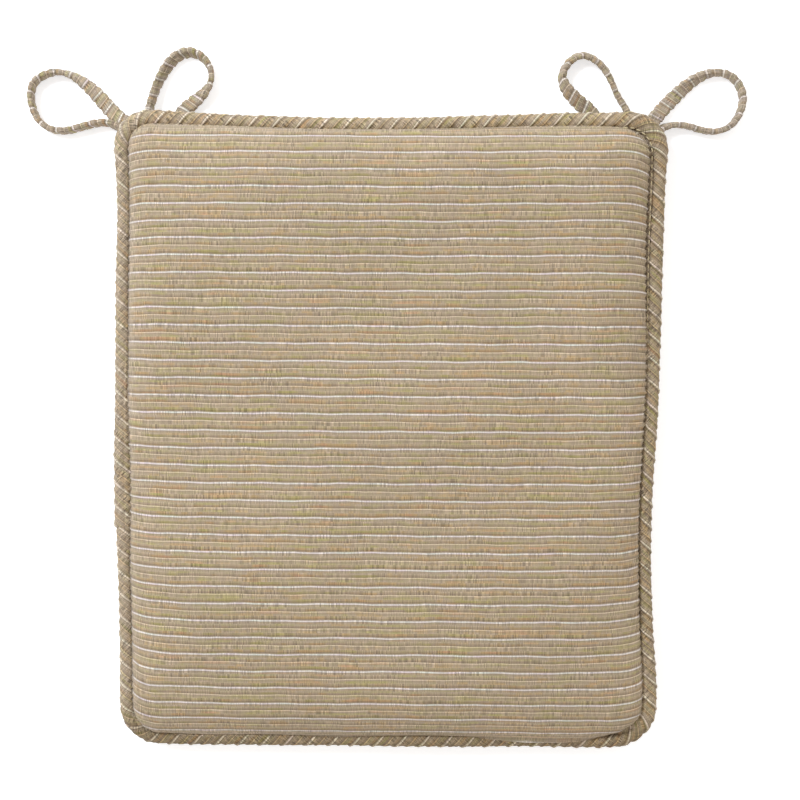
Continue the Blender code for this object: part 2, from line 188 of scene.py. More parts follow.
def make_camera():
    data = bpy.data.cameras.new("camera")
    data.sensor_width = 36.0
    data.lens = data.sensor_width / 2 / tan(radians(CAMERA_FIELD / 2))
    data.clip_start = 0.01
    data.clip_end = 20.0
    camera = bpy.data.objects.new("camera", data)
    turn = Matrix.Rotation(radians(CAMERA_PITCH), 4, "X") @ Matrix.Rotation(radians(CAMERA_ROLL), 4, "Z")
    camera.matrix_world = Matrix.Translation(CAMERA_PLACE) @ turn
    bpy.context.scene.collection.objects.link(camera)
    bpy.context.scene.camera = camera


def make_floor():
    bpy.ops.mesh.primitive_plane_add(size=FLOOR_SIZE, location=(0.0, 0.0, FLOOR_LEVEL))
    floor = bpy.context.object
    floor.name = "floor"
    graph = Graph("floor_pale")
    graph.put(graph.shader.inputs["Emission Color"], FLOOR_GLOW)
    graph.put(graph.shader.inputs["Emission Strength"], FLOOR_GLOW_STRENGTH)
    floor.data.materials.append(graph.shade(FLOOR_PALE, 0.9))


def make_lamp():
    data = bpy.data.lights.new("key_light", "AREA")
    data.shape = "DISK"
    data.size = KEY_SIZE
    data.energy = KEY_POWER
    data.color = KEY_COLOUR
    lamp = bpy.data.objects.new("key_light", data)
    lamp.location = KEY_PLACE
    lamp.rotation_euler = (-lamp.location).to_track_quat("-Z", "Y").to_euler()
    bpy.context.scene.collection.objects.link(lamp)


def make_light():
    graph = Graph("studio", world=True)
    place = graph.add("ShaderNodeTexCoord").outputs["Generated"]
    forward = graph.add("ShaderNodeSeparateXYZ", {"Vector": place}).outputs["Y"]
    sky = graph.ramp(graph.span(forward, -1.0, 1.0), ((0.0, SURROUND_FRONT), (1.0, SURROUND_REAR)))
    graph.put(graph.shader.inputs["Color"], sky)
    bpy.context.scene.world = graph.holder
    bpy.context.scene.view_settings.view_transform = "Standard"
    make_lamp()


# Small helpers for nodes


def linear(red, green, blue):
    """A colour given as 0-255 display values, as linear light."""
    out = []
    for value in (red, green, blue):
        share = value / 255
        out.append(share / 12.92 if share <= 0.04045 else ((share + 0.055) / 1.055) ** 2.4)
    return tuple(out)


class Graph:
    """A material or world built node by node.  Values may be numbers, colours or sockets."""

    def __init__(self, name, world=False):
        self.holder = (bpy.data.worlds if world else bpy.data.materials).new(name)
        self.holder.use_nodes = True
        self.tree = self.holder.node_tree
        self.shader = self.tree.nodes["Background" if world else "Principled BSDF"]

    def add(self, kind, values=(), **settings):
        made = self.tree.nodes.new(kind)
        for name, value in settings.items():
            setattr(made, name, value)
        for key, value in dict(values).items():
            self.put(made.inputs[key], value)
        return made

    def put(self, socket, value):
        if isinstance(value, bpy.types.NodeSocket):
            self.tree.links.new(value, socket)
        elif isinstance(value, tuple) and len(value) == 3 and len(socket.default_value) == 4:
            socket.default_value = (*value, 1.0)
        else:
            socket.default_value = value

    def math(self, operation, *values):
        return self.add("ShaderNodeMath", dict(enumerate(values)), operation=operation).outputs[0]

    def plus(self, first, second):
        return self.math("ADD", first, second)

    def times(self, first, second):
        return self.math("MULTIPLY", first, second)

    def vector(self, x, y, z):
        return self.add("ShaderNodeCombineXYZ", {"X": x, "Y": y, "Z": z}).outputs[0]

    def stored(self, name, output="Fac"):
        return self.add("ShaderNodeAttribute", attribute_name=name).outputs[output]

    def object_place(self):
        return self.add("ShaderNodeTexCoord").outputs["Object"]

    def noise(self, vector, scale=1.0, detail=1.0, roughness=0.5):
        values = {"Vector": vector, "Scale": scale, "Detail": detail, "Roughness": roughness}
        return self.add("ShaderNodeTexNoise", values).outputs["Fac"]

    def bands(self, vector, scale, distortion):
        values = {"Vector": vector, "Scale": scale, "Distortion": distortion}
        return self.add("ShaderNodeTexWave", values, bands_direction="DIAGONAL").outputs["Fac"]

    def ramp(self, value, stops):
        made = self.add("ShaderNodeValToRGB", {"Fac": value})
        elements = made.color_ramp.elements
        while len(elements) < len(stops):
            elements.new(0.5)
        for element, stop in zip(elements, stops):
            element.position = stop[0]
        for element, (_, colour) in zip(elements, stops):
            element.color = (*colour, 1.0) if isinstance(colour, tuple) else (colour, colour, colour, 1.0)
        return made.outputs["Color"]

    def mix(self, share, first, second, blend="MIX"):
        made = self.add("ShaderNodeMix", data_type="RGBA", blend_type=blend)
        for socket, value in zip((made.inputs[0], made.inputs[6], made.inputs[7]), (share, first, second)):
            self.put(socket, value)
        return made.outputs[2]

    def tint(self, colour, shade):
        return self.mix(1.0, colour, shade, "MULTIPLY")

    def span(self, value, low, high, to_low=0.0, to_high=1.0):
        values = {"Value": value, "From Min": low, "From Max": high, "To Min": to_low, "To Max": to_high}
        return self.add("ShaderNodeMapRange", values).outputs[0]

    def bump(self, height, distance, strength=1.0):
        values = {"Height": height, "Distance": distance, "Strength": strength}
        return self.add("ShaderNodeBump", values).outputs["Normal"]

    def shade(self, base, roughness, metallic=0.0, normal=None, sheen=0.0, specular=0.5):
        """Set the shader's own sockets, and give the finished material."""
        values = {
            "Base Color": base, "Roughness": roughness, "Metallic": metallic, "Sheen Weight": sheen,
            "Specular IOR Level": specular,
        }
        for name, value in values.items():
            self.put(self.shader.inputs[name], value)
        if normal is not None:
            self.put(self.shader.inputs["Normal"], normal)
        return self.holder


# The mixed yarns' cast: a little greyer than the lines between them, and greyer still in the ties
CLOTH_CAST = (1.0, 1.01, 1.11)
TIE_CAST = (1.0, 1.045, 1.26)

# One repeat of the stripe: its white line, its cream line, and display colours of the mixed yarns,
# with painted shade in the grooves before the lines and painted light on the crowns of the bands
YARN_STOPS_WITH_PAINTED_SHADING = (
    (0.0, "white"), (0.022, "white"), (0.058, (172, 155, 130)), (0.12, (176, 159, 131)),
    (0.20, (188, 170, 140)), (0.27, (183, 165, 134)), (0.33, (173, 155, 125)), (0.385, (156, 138, 111)),
    (0.42, (164, 146, 119)), (0.452, "cream"), (0.485, "cream"), (0.515, (172, 154, 126)),
    (0.60, (178, 161, 131)), (0.68, (188, 169, 137)), (0.76, (182, 163, 130)), (0.83, (170, 150, 117)),
    (0.885, (152, 134, 107)), (0.935, (161, 143, 117)), (0.972, "white"), (1.0, "white"),
)
LIGHTENED_YARN = (195, 180, 158)
DARKENED_TINT = (0.64, 0.61, 0.55)
UNTINTED = (1.0, 1.0, 1.0)
YARNS_PER_REPEAT = 7.0
BANDS_PER_REPEAT = 4.0
RIBS_PER_REPEAT = 9

# Hues that the mixed yarns take in streaks, and how strong they are through one repeat
STREAK_HUES = (
    (0.28, (0.90, 1.04, 0.62)), (0.38, (0.96, 1.03, 0.72)), (0.455, (0.98, 1.01, 0.96)),
    (0.53, (1.0, 0.98, 1.05)), (0.58, (1.07, 0.99, 0.80)), (0.67, (1.18, 0.92, 0.80)),
    (0.78, (1.10, 0.94, 1.04)),
)
STREAK_STRENGTHS = (
    (0.0, 0.0), (0.05, 0.25), (0.12, 0.55), (0.37, 1.0), (0.44, 0.5), (0.48, 0.4), (0.56, 0.8),
    (0.86, 1.0), (0.94, 0.5), (1.0, 0.0),
)

# Hues that the white line takes along its length, and where in one repeat it lies
GLINT_HUES = (
    (0.36, (0.94, 1.03, 1.0)), (0.48, (1.0, 1.0, 1.0)), (0.54, (1.0, 0.98, 1.02)), (0.66, (1.0, 0.93, 1.04)),
)
GLINT_STRENGTHS = ((0.0, 1.0), (0.04, 1.0), (0.07, 0.0), (0.94, 0.0), (0.97, 1.0), (1.0, 1.0))


def striped_cloth(name, white, cream, gain=0.83, rib_shading=0.05, slub=1.0, cast=CLOTH_CAST):
    """Ribbed cloth: a white and a cream line in each repeat, between bands of mixed yarns."""
    graph = Graph(name)
    place = graph.add("ShaderNodeSeparateXYZ", {"Vector": graph.stored("cloth", "Vector")}).outputs
    along, across, piece = place["X"], place["Y"], place["Z"]
    repeat = graph.math("DIVIDE", across, STRIPE)
    phase = graph.math("FRACT", repeat)
    lines = {"white": white, "cream": cream}

    def yarn(red, green, blue):
        return tuple(min(1.0, value * gain * share) for value, share in zip(linear(red, green, blue), cast))

    def noise_along(rate, row, detail=1.0, roughness=0.5):
        """Noise that runs along the yarns, and is another one in each row of them."""
        return graph.noise(graph.vector(graph.times(along, rate), row, piece), 1.0, detail, roughness)

    stops = [(stop, lines[kind] if kind in lines else yarn(*kind)) for stop, kind in YARN_STOPS_WITH_PAINTED_SHADING]
    colour = graph.ramp(phase, stops)

    # Each yarn changes hue in streaks along its length, most of all in the front half of a repeat
    yarn_row = graph.math("FLOOR", graph.times(repeat, YARNS_PER_REPEAT))
    streak = graph.ramp(noise_along(26.0, graph.times(yarn_row, 3.71), 4.0, 0.68), STREAK_HUES)
    colour = graph.tint(colour, graph.mix(graph.ramp(phase, STREAK_STRENGTHS), UNTINTED, streak))
    glint = graph.ramp(noise_along(45.0, graph.math("ROUND", repeat), 3.0), GLINT_HUES)
    colour = graph.tint(colour, graph.mix(graph.ramp(phase, GLINT_STRENGTHS), UNTINTED, glint))

    # Made paler, then darker, where the mesh asks for it: painted light and painted shade on the face,
    # welt and seam allowance, and only a little paler or darker cloth on two of the ties
    colour = graph.mix(graph.stored("lightened"), colour, yarn(*LIGHTENED_YARN))
    colour = graph.mix(graph.stored("darkened"), colour, graph.tint(colour, DARKENED_TINT))

    # Warp dashes across each band, fine and close, stronger in some stretches than in others
    band = graph.math("FLOOR", graph.times(graph.plus(repeat, 0.06), BANDS_PER_REPEAT))
    shifted = graph.times(band, 7.31)
    dash = noise_along(1050.0, shifted)
    depth = graph.span(noise_along(60.0, shifted), 0.35, 0.62, 0.10 * slub, 0.32 * slub)
    ribs = graph.math("SINE", graph.times(repeat, 2 * pi * RIBS_PER_REPEAT))
    grain = noise_along(2600.0, graph.times(across, 2600.0))
    wide = noise_along(9.0, graph.times(across, 9.0), 2.0)
    level = graph.times(graph.span(dash, 0.34, 0.66, -1.0, 1.0), depth)
    # The rib term is painted shade between the fine ribs, beside their real bump
    level = graph.plus(level, graph.times(ribs, rib_shading))
    level = graph.plus(level, graph.span(grain, 0.3, 0.7, -0.16 * slub, 0.16 * slub))
    level = graph.plus(level, graph.span(wide, 0.3, 0.7, -0.05, 0.05))
    level = graph.plus(level, 1.0)
    colour = graph.tint(colour, graph.vector(level, level, level))

    height = graph.plus(graph.times(dash, 0.8), graph.times(ribs, 0.18))
    normal = graph.bump(graph.plus(height, graph.times(grain, 0.35)), 0.00026, 0.7)
    rough = graph.span(dash, 0.3, 0.7, 0.82, 0.95)
    return graph.shade(colour, rough, normal=normal, sheen=0.10, specular=0.22)


def darker(colour, share):
    return tuple(value * share for value in colour)


def plain_weave(name, colour, pitch):
    """A fine twill in one colour, for the zip tapes."""
    graph = Graph(name)
    place = graph.object_place()
    twill = graph.bands(place, 1.0 / pitch, 0.6)
    shade = graph.mix(graph.times(twill, graph.noise(place, 400.0, 2.0)), darker(colour, 0.7), colour)
    return graph.shade(shade, 0.85, normal=graph.bump(twill, 0.0001), sheen=0.1)


def metal(name, colour):
    graph = Graph(name)
    place = graph.object_place()
    grain = graph.noise(place, 900.0, 3.0)
    worn = graph.span(graph.noise(place, 140.0, 2.0), 0.4, 0.7)
    shade = graph.mix(worn, colour, darker(colour, 0.92))
    return graph.shade(shade, graph.span(grain, 0.3, 0.7, 0.22, 0.42), 1.0, graph.bump(grain, 0.00002))


def nylon(name, colour):
    graph = Graph(name)
    tone = graph.noise(graph.object_place(), 350.0, 2.0)
    shade = graph.mix(tone, darker(colour, 0.85), colour)
    return graph.shade(shade, graph.span(tone, 0.3, 0.7, 0.3, 0.45), normal=graph.bump(tone, 0.00003))


def foam_material():
    """Open-cell foam: rounded pores about a millimetre across."""
    graph = Graph("open_cell_foam")
    cells = graph.add("ShaderNodeTexVoronoi", {"Vector": graph.object_place(), "Scale": 900.0}, feature="F1")
    pore = graph.span(cells.outputs["Distance"], 0.1, 0.6)
    colour = graph.mix(pore, linear(176, 158, 96), linear(236, 224, 172))
    return graph.shade(colour, 0.95, normal=graph.bump(pore, 0.0004))


def fibre_material():
    """Bonded polyester fibre: fine pale strands in every direction."""
    graph = Graph("polyester_fibre")
    place = graph.object_place()
    strands = graph.noise(place, 260.0, 6.0, 0.75)
    height = graph.plus(strands, graph.noise(place, 28.0, 2.0))
    colour = graph.mix(strands, linear(214, 214, 210), linear(248, 248, 246))
    return graph.shade(colour, 1.0, normal=graph.bump(height, 0.0008), sheen=0.3)


def cord_material():
    """Filler cord with its plies laid round the seam."""
    graph = Graph("cotton_filler_cord")
    place = graph.object_place()
    plies = graph.bands(place, 60.0, 1.0)
    height = graph.plus(plies, graph.times(graph.noise(place, 900.0, 3.0), 0.3))
    colour = graph.mix(plies, linear(188, 180, 160), linear(228, 222, 206))
    return graph.shade(colour, 0.95, normal=graph.bump(height, 0.0006))


def thread_material(name, colour):
    graph = Graph(name)
    twist = graph.noise(graph.object_place(), 1800.0, 2.0)
    shade = graph.mix(twist, darker(colour, 0.75), colour)
    return graph.shade(shade, 0.7, normal=graph.bump(twist, 0.0001), sheen=0.2)


# Meshes


def add_object(name, points, faces, material):
    mesh = bpy.data.meshes.new(name)
    mesh.from_pydata([tuple(point) for point in np.reshape(points, (-1, 3))], [], faces)
    mesh.materials.append(material)
    mesh.shade_smooth()
    made = bpy.data.objects.new(name, mesh)
    bpy.context.scene.collection.objects.link(made)
    return made


def set_cloth(item, along, across, piece):
    """Store where each point lies on the flat cloth, and a number that sets its piece apart."""
    values = np.stack([along, across, np.full_like(along, piece)], axis=-1)
    attribute = item.data.attributes.new("cloth", "FLOAT_VECTOR", "POINT")
    attribute.data.foreach_set("vector", np.asarray(values, np.float32).ravel())


def set_tone_shift(item, kind, values):
    """Store how much paler, or how much darker, the cloth is made at each point, 0 to 1."""
    attribute = item.data.attributes.new(kind, "FLOAT", "POINT")
    attribute.data.foreach_set("value", np.asarray(values, np.float32).ravel())


def tube_faces(rings, sides, closed=False):
    """Quads round rings of points, joined into one loop or else closed with flat ends."""
    faces = grid_faces(rings, sides, round_rows=closed, round_columns=True)
    if not closed:
        faces.append(tuple(reversed(range(sides))))
        faces.append(tuple((rings - 1) * sides + index for index in range(sides)))
    return faces


def turned(faces):
    """The same faces seen from the other side."""
    return [face[::-1] for face in faces]


def grid_faces(rows, columns, keep=None, round_rows=False, round_columns=False):
    """Quads of a grid of points, row by row, facing up where rows go +Y and columns +X."""
    faces = []
    for row in range(rows if round_rows else rows - 1):
        near = row * columns
        far = (row + 1) % rows * columns
        for column in range(columns if round_columns else columns - 1):
            if keep is None or keep[row, column]:
                after = (column + 1) % columns
                faces.append((near + column, near + after, far + after, far + column))
    return faces


def finish_piece(item, slot, *nodes, body="pad"):
    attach(item, body)
    if nodes:
        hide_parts(*nodes)


def thicken(item, thickness):
    """Give a cloth surface its thickness, inwards."""
    step = item.modifiers.new("thickness", "SOLIDIFY")
    step.thickness = thickness
    step.offset = -1.0


# The pad's shape


def rise(value, start, length, most=1.0):
    """A ramp: 0 up to the start, 1 a length later, and level once it reaches the most."""
    return np.clip((value - start) / length, 0, most)


def bulge(step, fullness):
    """A rounded shoulder, from 0 to 1 as the step goes from 0 to 1."""
    return (1.0 - (1.0 - step) ** fullness) ** (1.0 / fullness)


def inset_of(x, y):
    """How far inside the seam line each point lies, by the rings of the solid model."""
    low = np.full(x.shape, -0.03)
    high = np.full(x.shape, SEAM_HALF_X)
    for _ in range(26):
        middle = (low + high) / 2
        radius = np.hypot(CORNER_RADIUS - middle, CORNER_SPREAD * middle)
        radius = np.minimum(radius, 0.9 * (SEAM_HALF_X - middle))
        over_x = np.abs(x) - (SEAM_HALF_X - middle - radius)
        over_y = np.abs(y) - (SEAM_HALF_Y - middle - radius)
        outside = np.hypot(np.maximum(over_x, 0), np.maximum(over_y, 0))
        inside = outside + np.minimum(np.maximum(over_x, over_y), 0) < radius
        low = np.where(inside, middle, low)
        high = np.where(inside, high, middle)
    return (low + high) / 2


def face_height(inset):
    step = rise(inset, PANEL_INSET, FACE_SHOULDER)
    dome = rise(inset, FACE_SHOULDER, DOME_INSET - FACE_SHOULDER)
    shoulder = CROWN - DOME_RISE - FACE_LOW.z
    return FACE_LOW.z + shoulder * bulge(step, FACE_FULLNESS) + DOME_RISE * (1 - (1 - dome) ** 2)


def under_height(inset):
    return UNDER_TOP * (1 - bulge(rise(inset, PANEL_INSET, UNDER_SHOULDER), UNDER_FULLNESS))


def bell(value, middle, reach):
    """A smooth bump, 1 at the middle and 0 beyond its reach."""
    return (1 - np.clip(np.abs(value - middle) / reach, 0, 1) ** 2) ** 2


def bells(value, bumps):
    """Smooth bumps added up, each given as its size, middle and reach."""
    return sum(size * bell(value, middle, reach) for size, middle, reach in bumps)


def waves(value, table):
    """Sine waves added up, each given as its size, rate and start."""
    return sum(size * np.sin(rate * value + start) for size, rate, start in table)


def spot(x, y, middle_x, middle_y, reach):
    """A smooth round bump on the plan."""
    return bell(np.hypot(x - middle_x, y - middle_y), 0.0, reach)


def near_sides(x, y, start, length, rear_start, rear_length, most=1.0):
    """How near points are to the right, left, rear and front, rising from `start` inside the seam."""
    return [
        rise(place, seam - begin, reach, most) ** 2
        for place, seam, begin, reach in (
            (x, SEAM_HALF_X, start, length), (-x, SEAM_HALF_X, start, length),
            (y, SEAM_HALF_Y, rear_start, rear_length), (-y, SEAM_HALF_Y, start, length),
        )
    ]


# How this pad's outline strays outwards: size, middle and reach of each bump along a side
OUTLINE_RIGHT = ((0.0015, 0.22, 0.08), (-0.0042, -0.075, 0.12), (0.0032, -0.22, 0.07))
OUTLINE_LEFT = ((-0.0018, 0.18, 0.08), (0.0020, -0.03, 0.12), (-0.0008, -0.18, 0.10))
OUTLINE_REAR = ((-0.0052, -0.03, 0.19),)
CORNER_CUT_LEFT = 0.0024
CORNER_CUT_RIGHT = 0.0020


def warp(x, y):
    """Move points of the ideal outline to where this pad's seam really runs."""
    near_right, near_left, near_rear, near_front = near_sides(x, y, 0.05, 0.05, 0.025, 0.025, 1.2)
    cut_left = CORNER_CUT_LEFT * near_left * near_front
    cut_right = CORNER_CUT_RIGHT * near_right * near_front
    moved_x = x + bells(y, OUTLINE_RIGHT) * near_right - bells(y, OUTLINE_LEFT) * near_left
    moved_y = y + bells(x, OUTLINE_REAR) * near_rear
    return moved_x + cut_left - cut_right, moved_y + cut_left + cut_right


# How far the panel stands back from the welt, as bumps along each side, and at the corners
GAP_RIGHT = ((0.0028, 0.17, 0.12), (0.0004, -0.02, 0.14))
GAP_LEFT = ((0.0020, -0.04, 0.075),)
GAP_REAR = 0.0006
GAP_FRONT = ((-0.0042, 0.138, 0.075), (0.0048, 0.196, 0.042), (0.0018, -0.172, 0.036))
GAP_REAR_RIGHT = 0.0066
GAP_FRONT_RIGHT = 0.0036
GAP_FRONT_LEFT = 0.0032


def face_gap(x, y, cover=True):
    """How far the panel's edge stands back from the welt, or with the cover's folds laps over it."""
    near_right, near_left, near_rear, near_front = near_sides(x, y, 0.035, 0.03, 0.03, 0.025)
    tuck = 0.0006 * np.cos(2 * pi * y / STITCH_PITCH + 0.8 * np.sin(y * 61)) + 0.00025 * np.sin(y * 2300)
    right = bells(y, GAP_RIGHT) + tuck * (0.4 + 0.6 * rise(y, -0.16, 0.06))
    left = bells(y, GAP_LEFT) + tuck * (0.35 + 0.65 * bell(y, -0.04, 0.09)) - 0.0003
    front = bells(x, GAP_FRONT) + 0.0006 * np.sin(x * 47) - 0.0016 if cover else 0.0
    rear_right = GAP_REAR_RIGHT * near_right * near_rear
    front_right = GAP_FRONT_RIGHT * near_right * near_front
    front_left = GAP_FRONT_LEFT * near_left * near_front
    moved_x = x - right * near_right + left * near_left - rear_right - front_right + front_left
    return moved_x, y - GAP_REAR * near_rear + front * near_front - rear_right + front_right + front_left


# Slow waves of the filling: rates along X and Y, start and size in millimetres
LUMP_WAVES = (
    (31.0, 12.0, 0.4, 0.45), (-18.0, 27.0, 1.7, 0.5), (9.0, -41.0, 2.9, 0.35),
    (52.0, 33.0, 0.9, 0.22), (-47.0, 58.0, 4.1, 0.18), (76.0, -21.0, 5.2, 0.14),
)


def lumps(x, y):
    """Slow unevenness of the fibre filling."""
    parts = (size * np.sin(rate_x * x + rate_y * y + start) for rate_x, rate_y, start, size in LUMP_WAVES)
    return MM * sum(parts)


def puckers(x, y, inset):
    """Small gathers that run in from the seam."""
    beside = np.where(SEAM_HALF_X - np.abs(x) < SEAM_HALF_Y - np.abs(y), y, x)
    ripple = np.sin(410 * beside + 2.0 * np.sin(37 * beside)) + 0.6 * np.sin(290 * beside + 1.3)
    fade = np.exp(-rise(inset, PANEL_INSET, 0.009, 100.0))
    return -0.00028 * ripple * fade * rise(inset, PANEL_INSET, 0.002)


def ridge(across, place, reach):
    """A raised line at one place in each repeat of the stripe, 0 to 1."""
    gap = np.abs(np.mod(across / STRIPE, 1.0) - place)
    return np.exp(-((np.minimum(gap, 1 - gap) / reach) ** 2))


def rib(across):
    """Height of the woven ribs and lines above the cloth's own level."""
    phase = np.mod(across / STRIPE, 1.0)

    def hump(start, end):
        step = np.clip(np.mod(phase - start, 1.0) / (end - start), 0, 1)
        return np.sin(pi * step) ** 0.6

    height = 0.34 * hump(-0.11, 0.40) + 0.34 * hump(0.40, 0.89)
    height += 0.14 * ridge(across, 0.0, 0.035) + 0.10 * ridge(across, 0.47, 0.03) - 0.2
    return height * MM


def wander(along, across):
    """How the woven lines stray from straight."""
    drift = 0.24 * np.sin(84 * along + 2.6 * np.sin(53 * across)) + 0.15 * np.sin(211 * along + 91 * across)
    drift += 0.06 * np.sin(530 * along + 260 * across)
    return drift * MM


def edge_dip(x, y):
    """How far the stripes are drawn along the edge where the cloth is eased round the sides."""
    at_side = rise(np.abs(x), SEAM_HALF_X - 0.034, 0.029) ** 3
    depth = np.clip(y / 0.24, -1.2, 1.2)
    amount = np.where(x > 0, np.where(y > 0, 0.0068, 0.0040), np.where(y > 0, 0.0036, 0.0070))
    return 0.0022 * rise(x, 0.03, 0.15) * rise(y, 0.05, 0.12) - amount * at_side * depth * np.abs(depth)


def columns_of(count, fixed=()):
    """Places from -1 to 1, closer together towards the ends, with lines at the fixed places."""
    even = np.linspace(-1, 1, count)
    places = 0.45 * even + 0.55 * np.sin(even * pi / 2)
    for place in fixed:
        places[np.argmin(np.abs(places - place))] = place
    return places


def travel(points):
    """The distance along a line of points to each of them."""
    return np.concatenate(([0.0], np.cumsum(np.linalg.norm(np.diff(points, axis=0), axis=1))))


def stripe_rows(height_at, start, phases):
    """Places along Y that follow the cloth's stripes, and a function from Y to the place on the cloth."""
    fine = np.linspace(0, PANEL_HALF_Y, 1500)
    travelled = travel(np.stack([fine, height_at(np.zeros_like(fine), fine)], axis=1))

    def across_at(y):
        drawn = REAR_SLACK * rise(y, 0.09, 0.10) ** 2
        beyond = LAP_EASE * np.maximum(np.abs(y) - PANEL_HALF_Y, 0)
        return start - np.sign(y) * (np.interp(np.abs(y), fine, travelled) + beyond) - drawn

    total = travelled[-1]
    repeats = range(int((start - total) / STRIPE) - 1, int((start + total) / STRIPE) + 2)
    marks = start - np.array([(repeat + phase) * STRIPE for repeat in repeats for phase in phases])
    marks = np.sort(marks[np.abs(marks) < total - 0.0003])
    inner = np.sign(marks) * np.interp(np.abs(marks), travelled, fine)
    return np.concatenate(([-PANEL_HALF_Y], inner, [PANEL_HALF_Y])), across_at


def half_width_at(y, half_x, half_y, radius):
    """Half the width at each Y of a rectangle with rounded corners."""
    over = np.clip(np.abs(y) - (half_y - radius), 0, radius)
    return half_x - radius + np.sqrt(radius**2 - over**2)


def panel_points(rows, places, height_at, gap=None):
    """Points of a panel, in rows of constant Y cut off at the seam: on this pad, and on the ideal one."""
    radius = hypot(CORNER_RADIUS - PANEL_INSET, CORNER_SPREAD * PANEL_INSET)
    x = half_width_at(rows, PANEL_HALF_X, PANEL_HALF_Y, radius)[:, None] * places
    y = np.repeat(rows[:, None], len(places), axis=1)
    moved_x, moved_y = warp(x, y)
    if gap is not None:
        moved_x, moved_y = gap(moved_x, moved_y)
    return np.stack([moved_x, moved_y, height_at(x, y)], axis=-1), x, y


def over_welt(x, y):
    """The height at which cloth lying on the welt's inner side would be, or far below if clear of it."""
    back_x, back_y = warp(x, y)
    inset = inset_of(2 * x - back_x, 2 * y - back_y)
    clear = (WELT_RADIUS + 0.0006) ** 2 - inset**2
    return np.where(clear > 0, SEAM_HEIGHT + np.sqrt(np.maximum(clear, 0)), 0.0)


def unit(vectors):
    return vectors / np.maximum(np.linalg.norm(vectors, axis=-1, keepdims=True), 1e-12)


def grid_normals(points):
    return unit(np.cross(np.gradient(points, axis=1), np.gradient(points, axis=0)))


# The cover filled out, by cloth simulation on a coarse copy


COVER_ROWS = 88
COVER_COLUMNS = 76
COVER_FRAMES = 20
COVER_CAP = 0.0030
WRINKLE_SHARE = 0.22
WRINKLE_WINDOW = 7
FACE_SOFTENED_ROWS = 8
FACE_SOFTENED_COLUMNS = 1
CLOTH_SETTINGS = {
    "quality": 6,
    "mass": 0.25,
    "tension_stiffness": 18.0,
    "compression_stiffness": 18.0,
    "shear_stiffness": 6.0,
    "bending_stiffness": 0.3,
    "air_damping": 2.0,
    "use_pressure": True,
    "uniform_pressure_force": 4.0,
    "vertex_group_mass": "seam",
    "shrink_min": -0.012,
}


def closed_sheets(upper, lower):
    """Two grids of points joined round their borders, and the border points of both."""
    rows, columns = upper.shape[:2]
    size = rows * columns
    faces = grid_faces(rows, columns)
    faces += [tuple(size + index for index in reversed(face)) for face in grid_faces(rows, columns)]
    border = list(range(columns))
    border += [row * columns + columns - 1 for row in range(1, rows)]
    border += [(rows - 1) * columns + column for column in range(columns - 2, -1, -1)]
    border += [row * columns for row in range(rows - 2, 0, -1)]
    for first, second in zip(border, border[1:] + border[:1]):
        faces.append((first + size, second + size, second, first))
    points = np.concatenate([upper.reshape(-1, 3), lower.reshape(-1, 3)])
    return points, faces, border + [size + index for index in border]


def closed_cover(rows, places):
    """A coarse closed cushion: the face on the underside, joined round the seam."""

    def over(x, y):
        return face_height(inset_of(x, y)) - 0.0006

    def under(x, y):
        return under_height(inset_of(x, y)) + 0.0006

    upper = panel_points(rows, places, over, face_gap)[0]
    lower = panel_points(rows, places, under)[0]
    return closed_sheets(upper, lower)


def fill_out_cover():
    """Blow the coarse cover up against its seam, and give how far the face and underside moved."""
    rows = columns_of(COVER_ROWS) * PANEL_HALF_Y
    places = columns_of(COVER_COLUMNS)
    points, faces, pinned = closed_cover(rows, places)
    mesh = bpy.data.meshes.new("cover_blank")
    mesh.from_pydata([tuple(point) for point in points], [], faces)
    blank = bpy.data.objects.new("cover_blank", mesh)
    bpy.context.scene.collection.objects.link(blank)
    blank.vertex_groups.new(name="seam").add(pinned, 1.0, "REPLACE")
    modifier = blank.modifiers.new("fill", "CLOTH")
    for name, value in CLOTH_SETTINGS.items():
        setattr(modifier.settings, name, value)
    modifier.settings.effector_weights.gravity = 0.0
    modifier.collision_settings.use_collision = False
    modifier.point_cache.frame_end = COVER_FRAMES
    for step in range(1, COVER_FRAMES + 1):
        bpy.context.scene.frame_set(step)
    filled = blank.evaluated_get(bpy.context.evaluated_depsgraph_get()).to_mesh()
    moved = np.empty(len(points) * 3)
    filled.vertices.foreach_get("co", moved)
    bpy.data.objects.remove(blank)
    bpy.context.scene.frame_set(1)
    over, under = (moved.reshape(-1, 3) - points).reshape(2, COVER_ROWS, COVER_COLUMNS, 3)
    return rows, places, over, under


def soften_field(field, rows, columns):
    """Average a grid of values over a window of rows and columns."""
    for axis, reach in ((0, rows), (1, columns)):
        kernel = np.hanning(2 * reach + 3)[1:-1]
        kernel /= kernel.sum()
        pads = [(0, 0)] * field.ndim
        pads[axis] = (reach, reach)
        padded = np.pad(field, pads, mode="edge")
        field = np.apply_along_axis(lambda line: np.convolve(line, kernel, mode="valid"), axis, padded)
    return field


def wrinkles_of(moved):
    """The short waves of the filled cover, without its overall swelling, capped."""
    short = moved - soften_field(moved, WRINKLE_WINDOW, WRINKLE_WINDOW)
    return WRINKLE_SHARE * COVER_CAP * np.tanh(short / COVER_CAP)


def resample(field, axis, old, new):
    """Read a field at new places along one of its axes."""
    return np.apply_along_axis(lambda line: np.interp(new, old, line), axis, field)


def spread_wrinkles(cover, moved, rows, places):
    """The coarse cover's wrinkles, read at the rows and places of a finer grid."""
    coarse_rows, coarse_places, *_ = cover
    return resample(resample(wrinkles_of(moved), 0, coarse_rows, rows), 1, coarse_places, places)


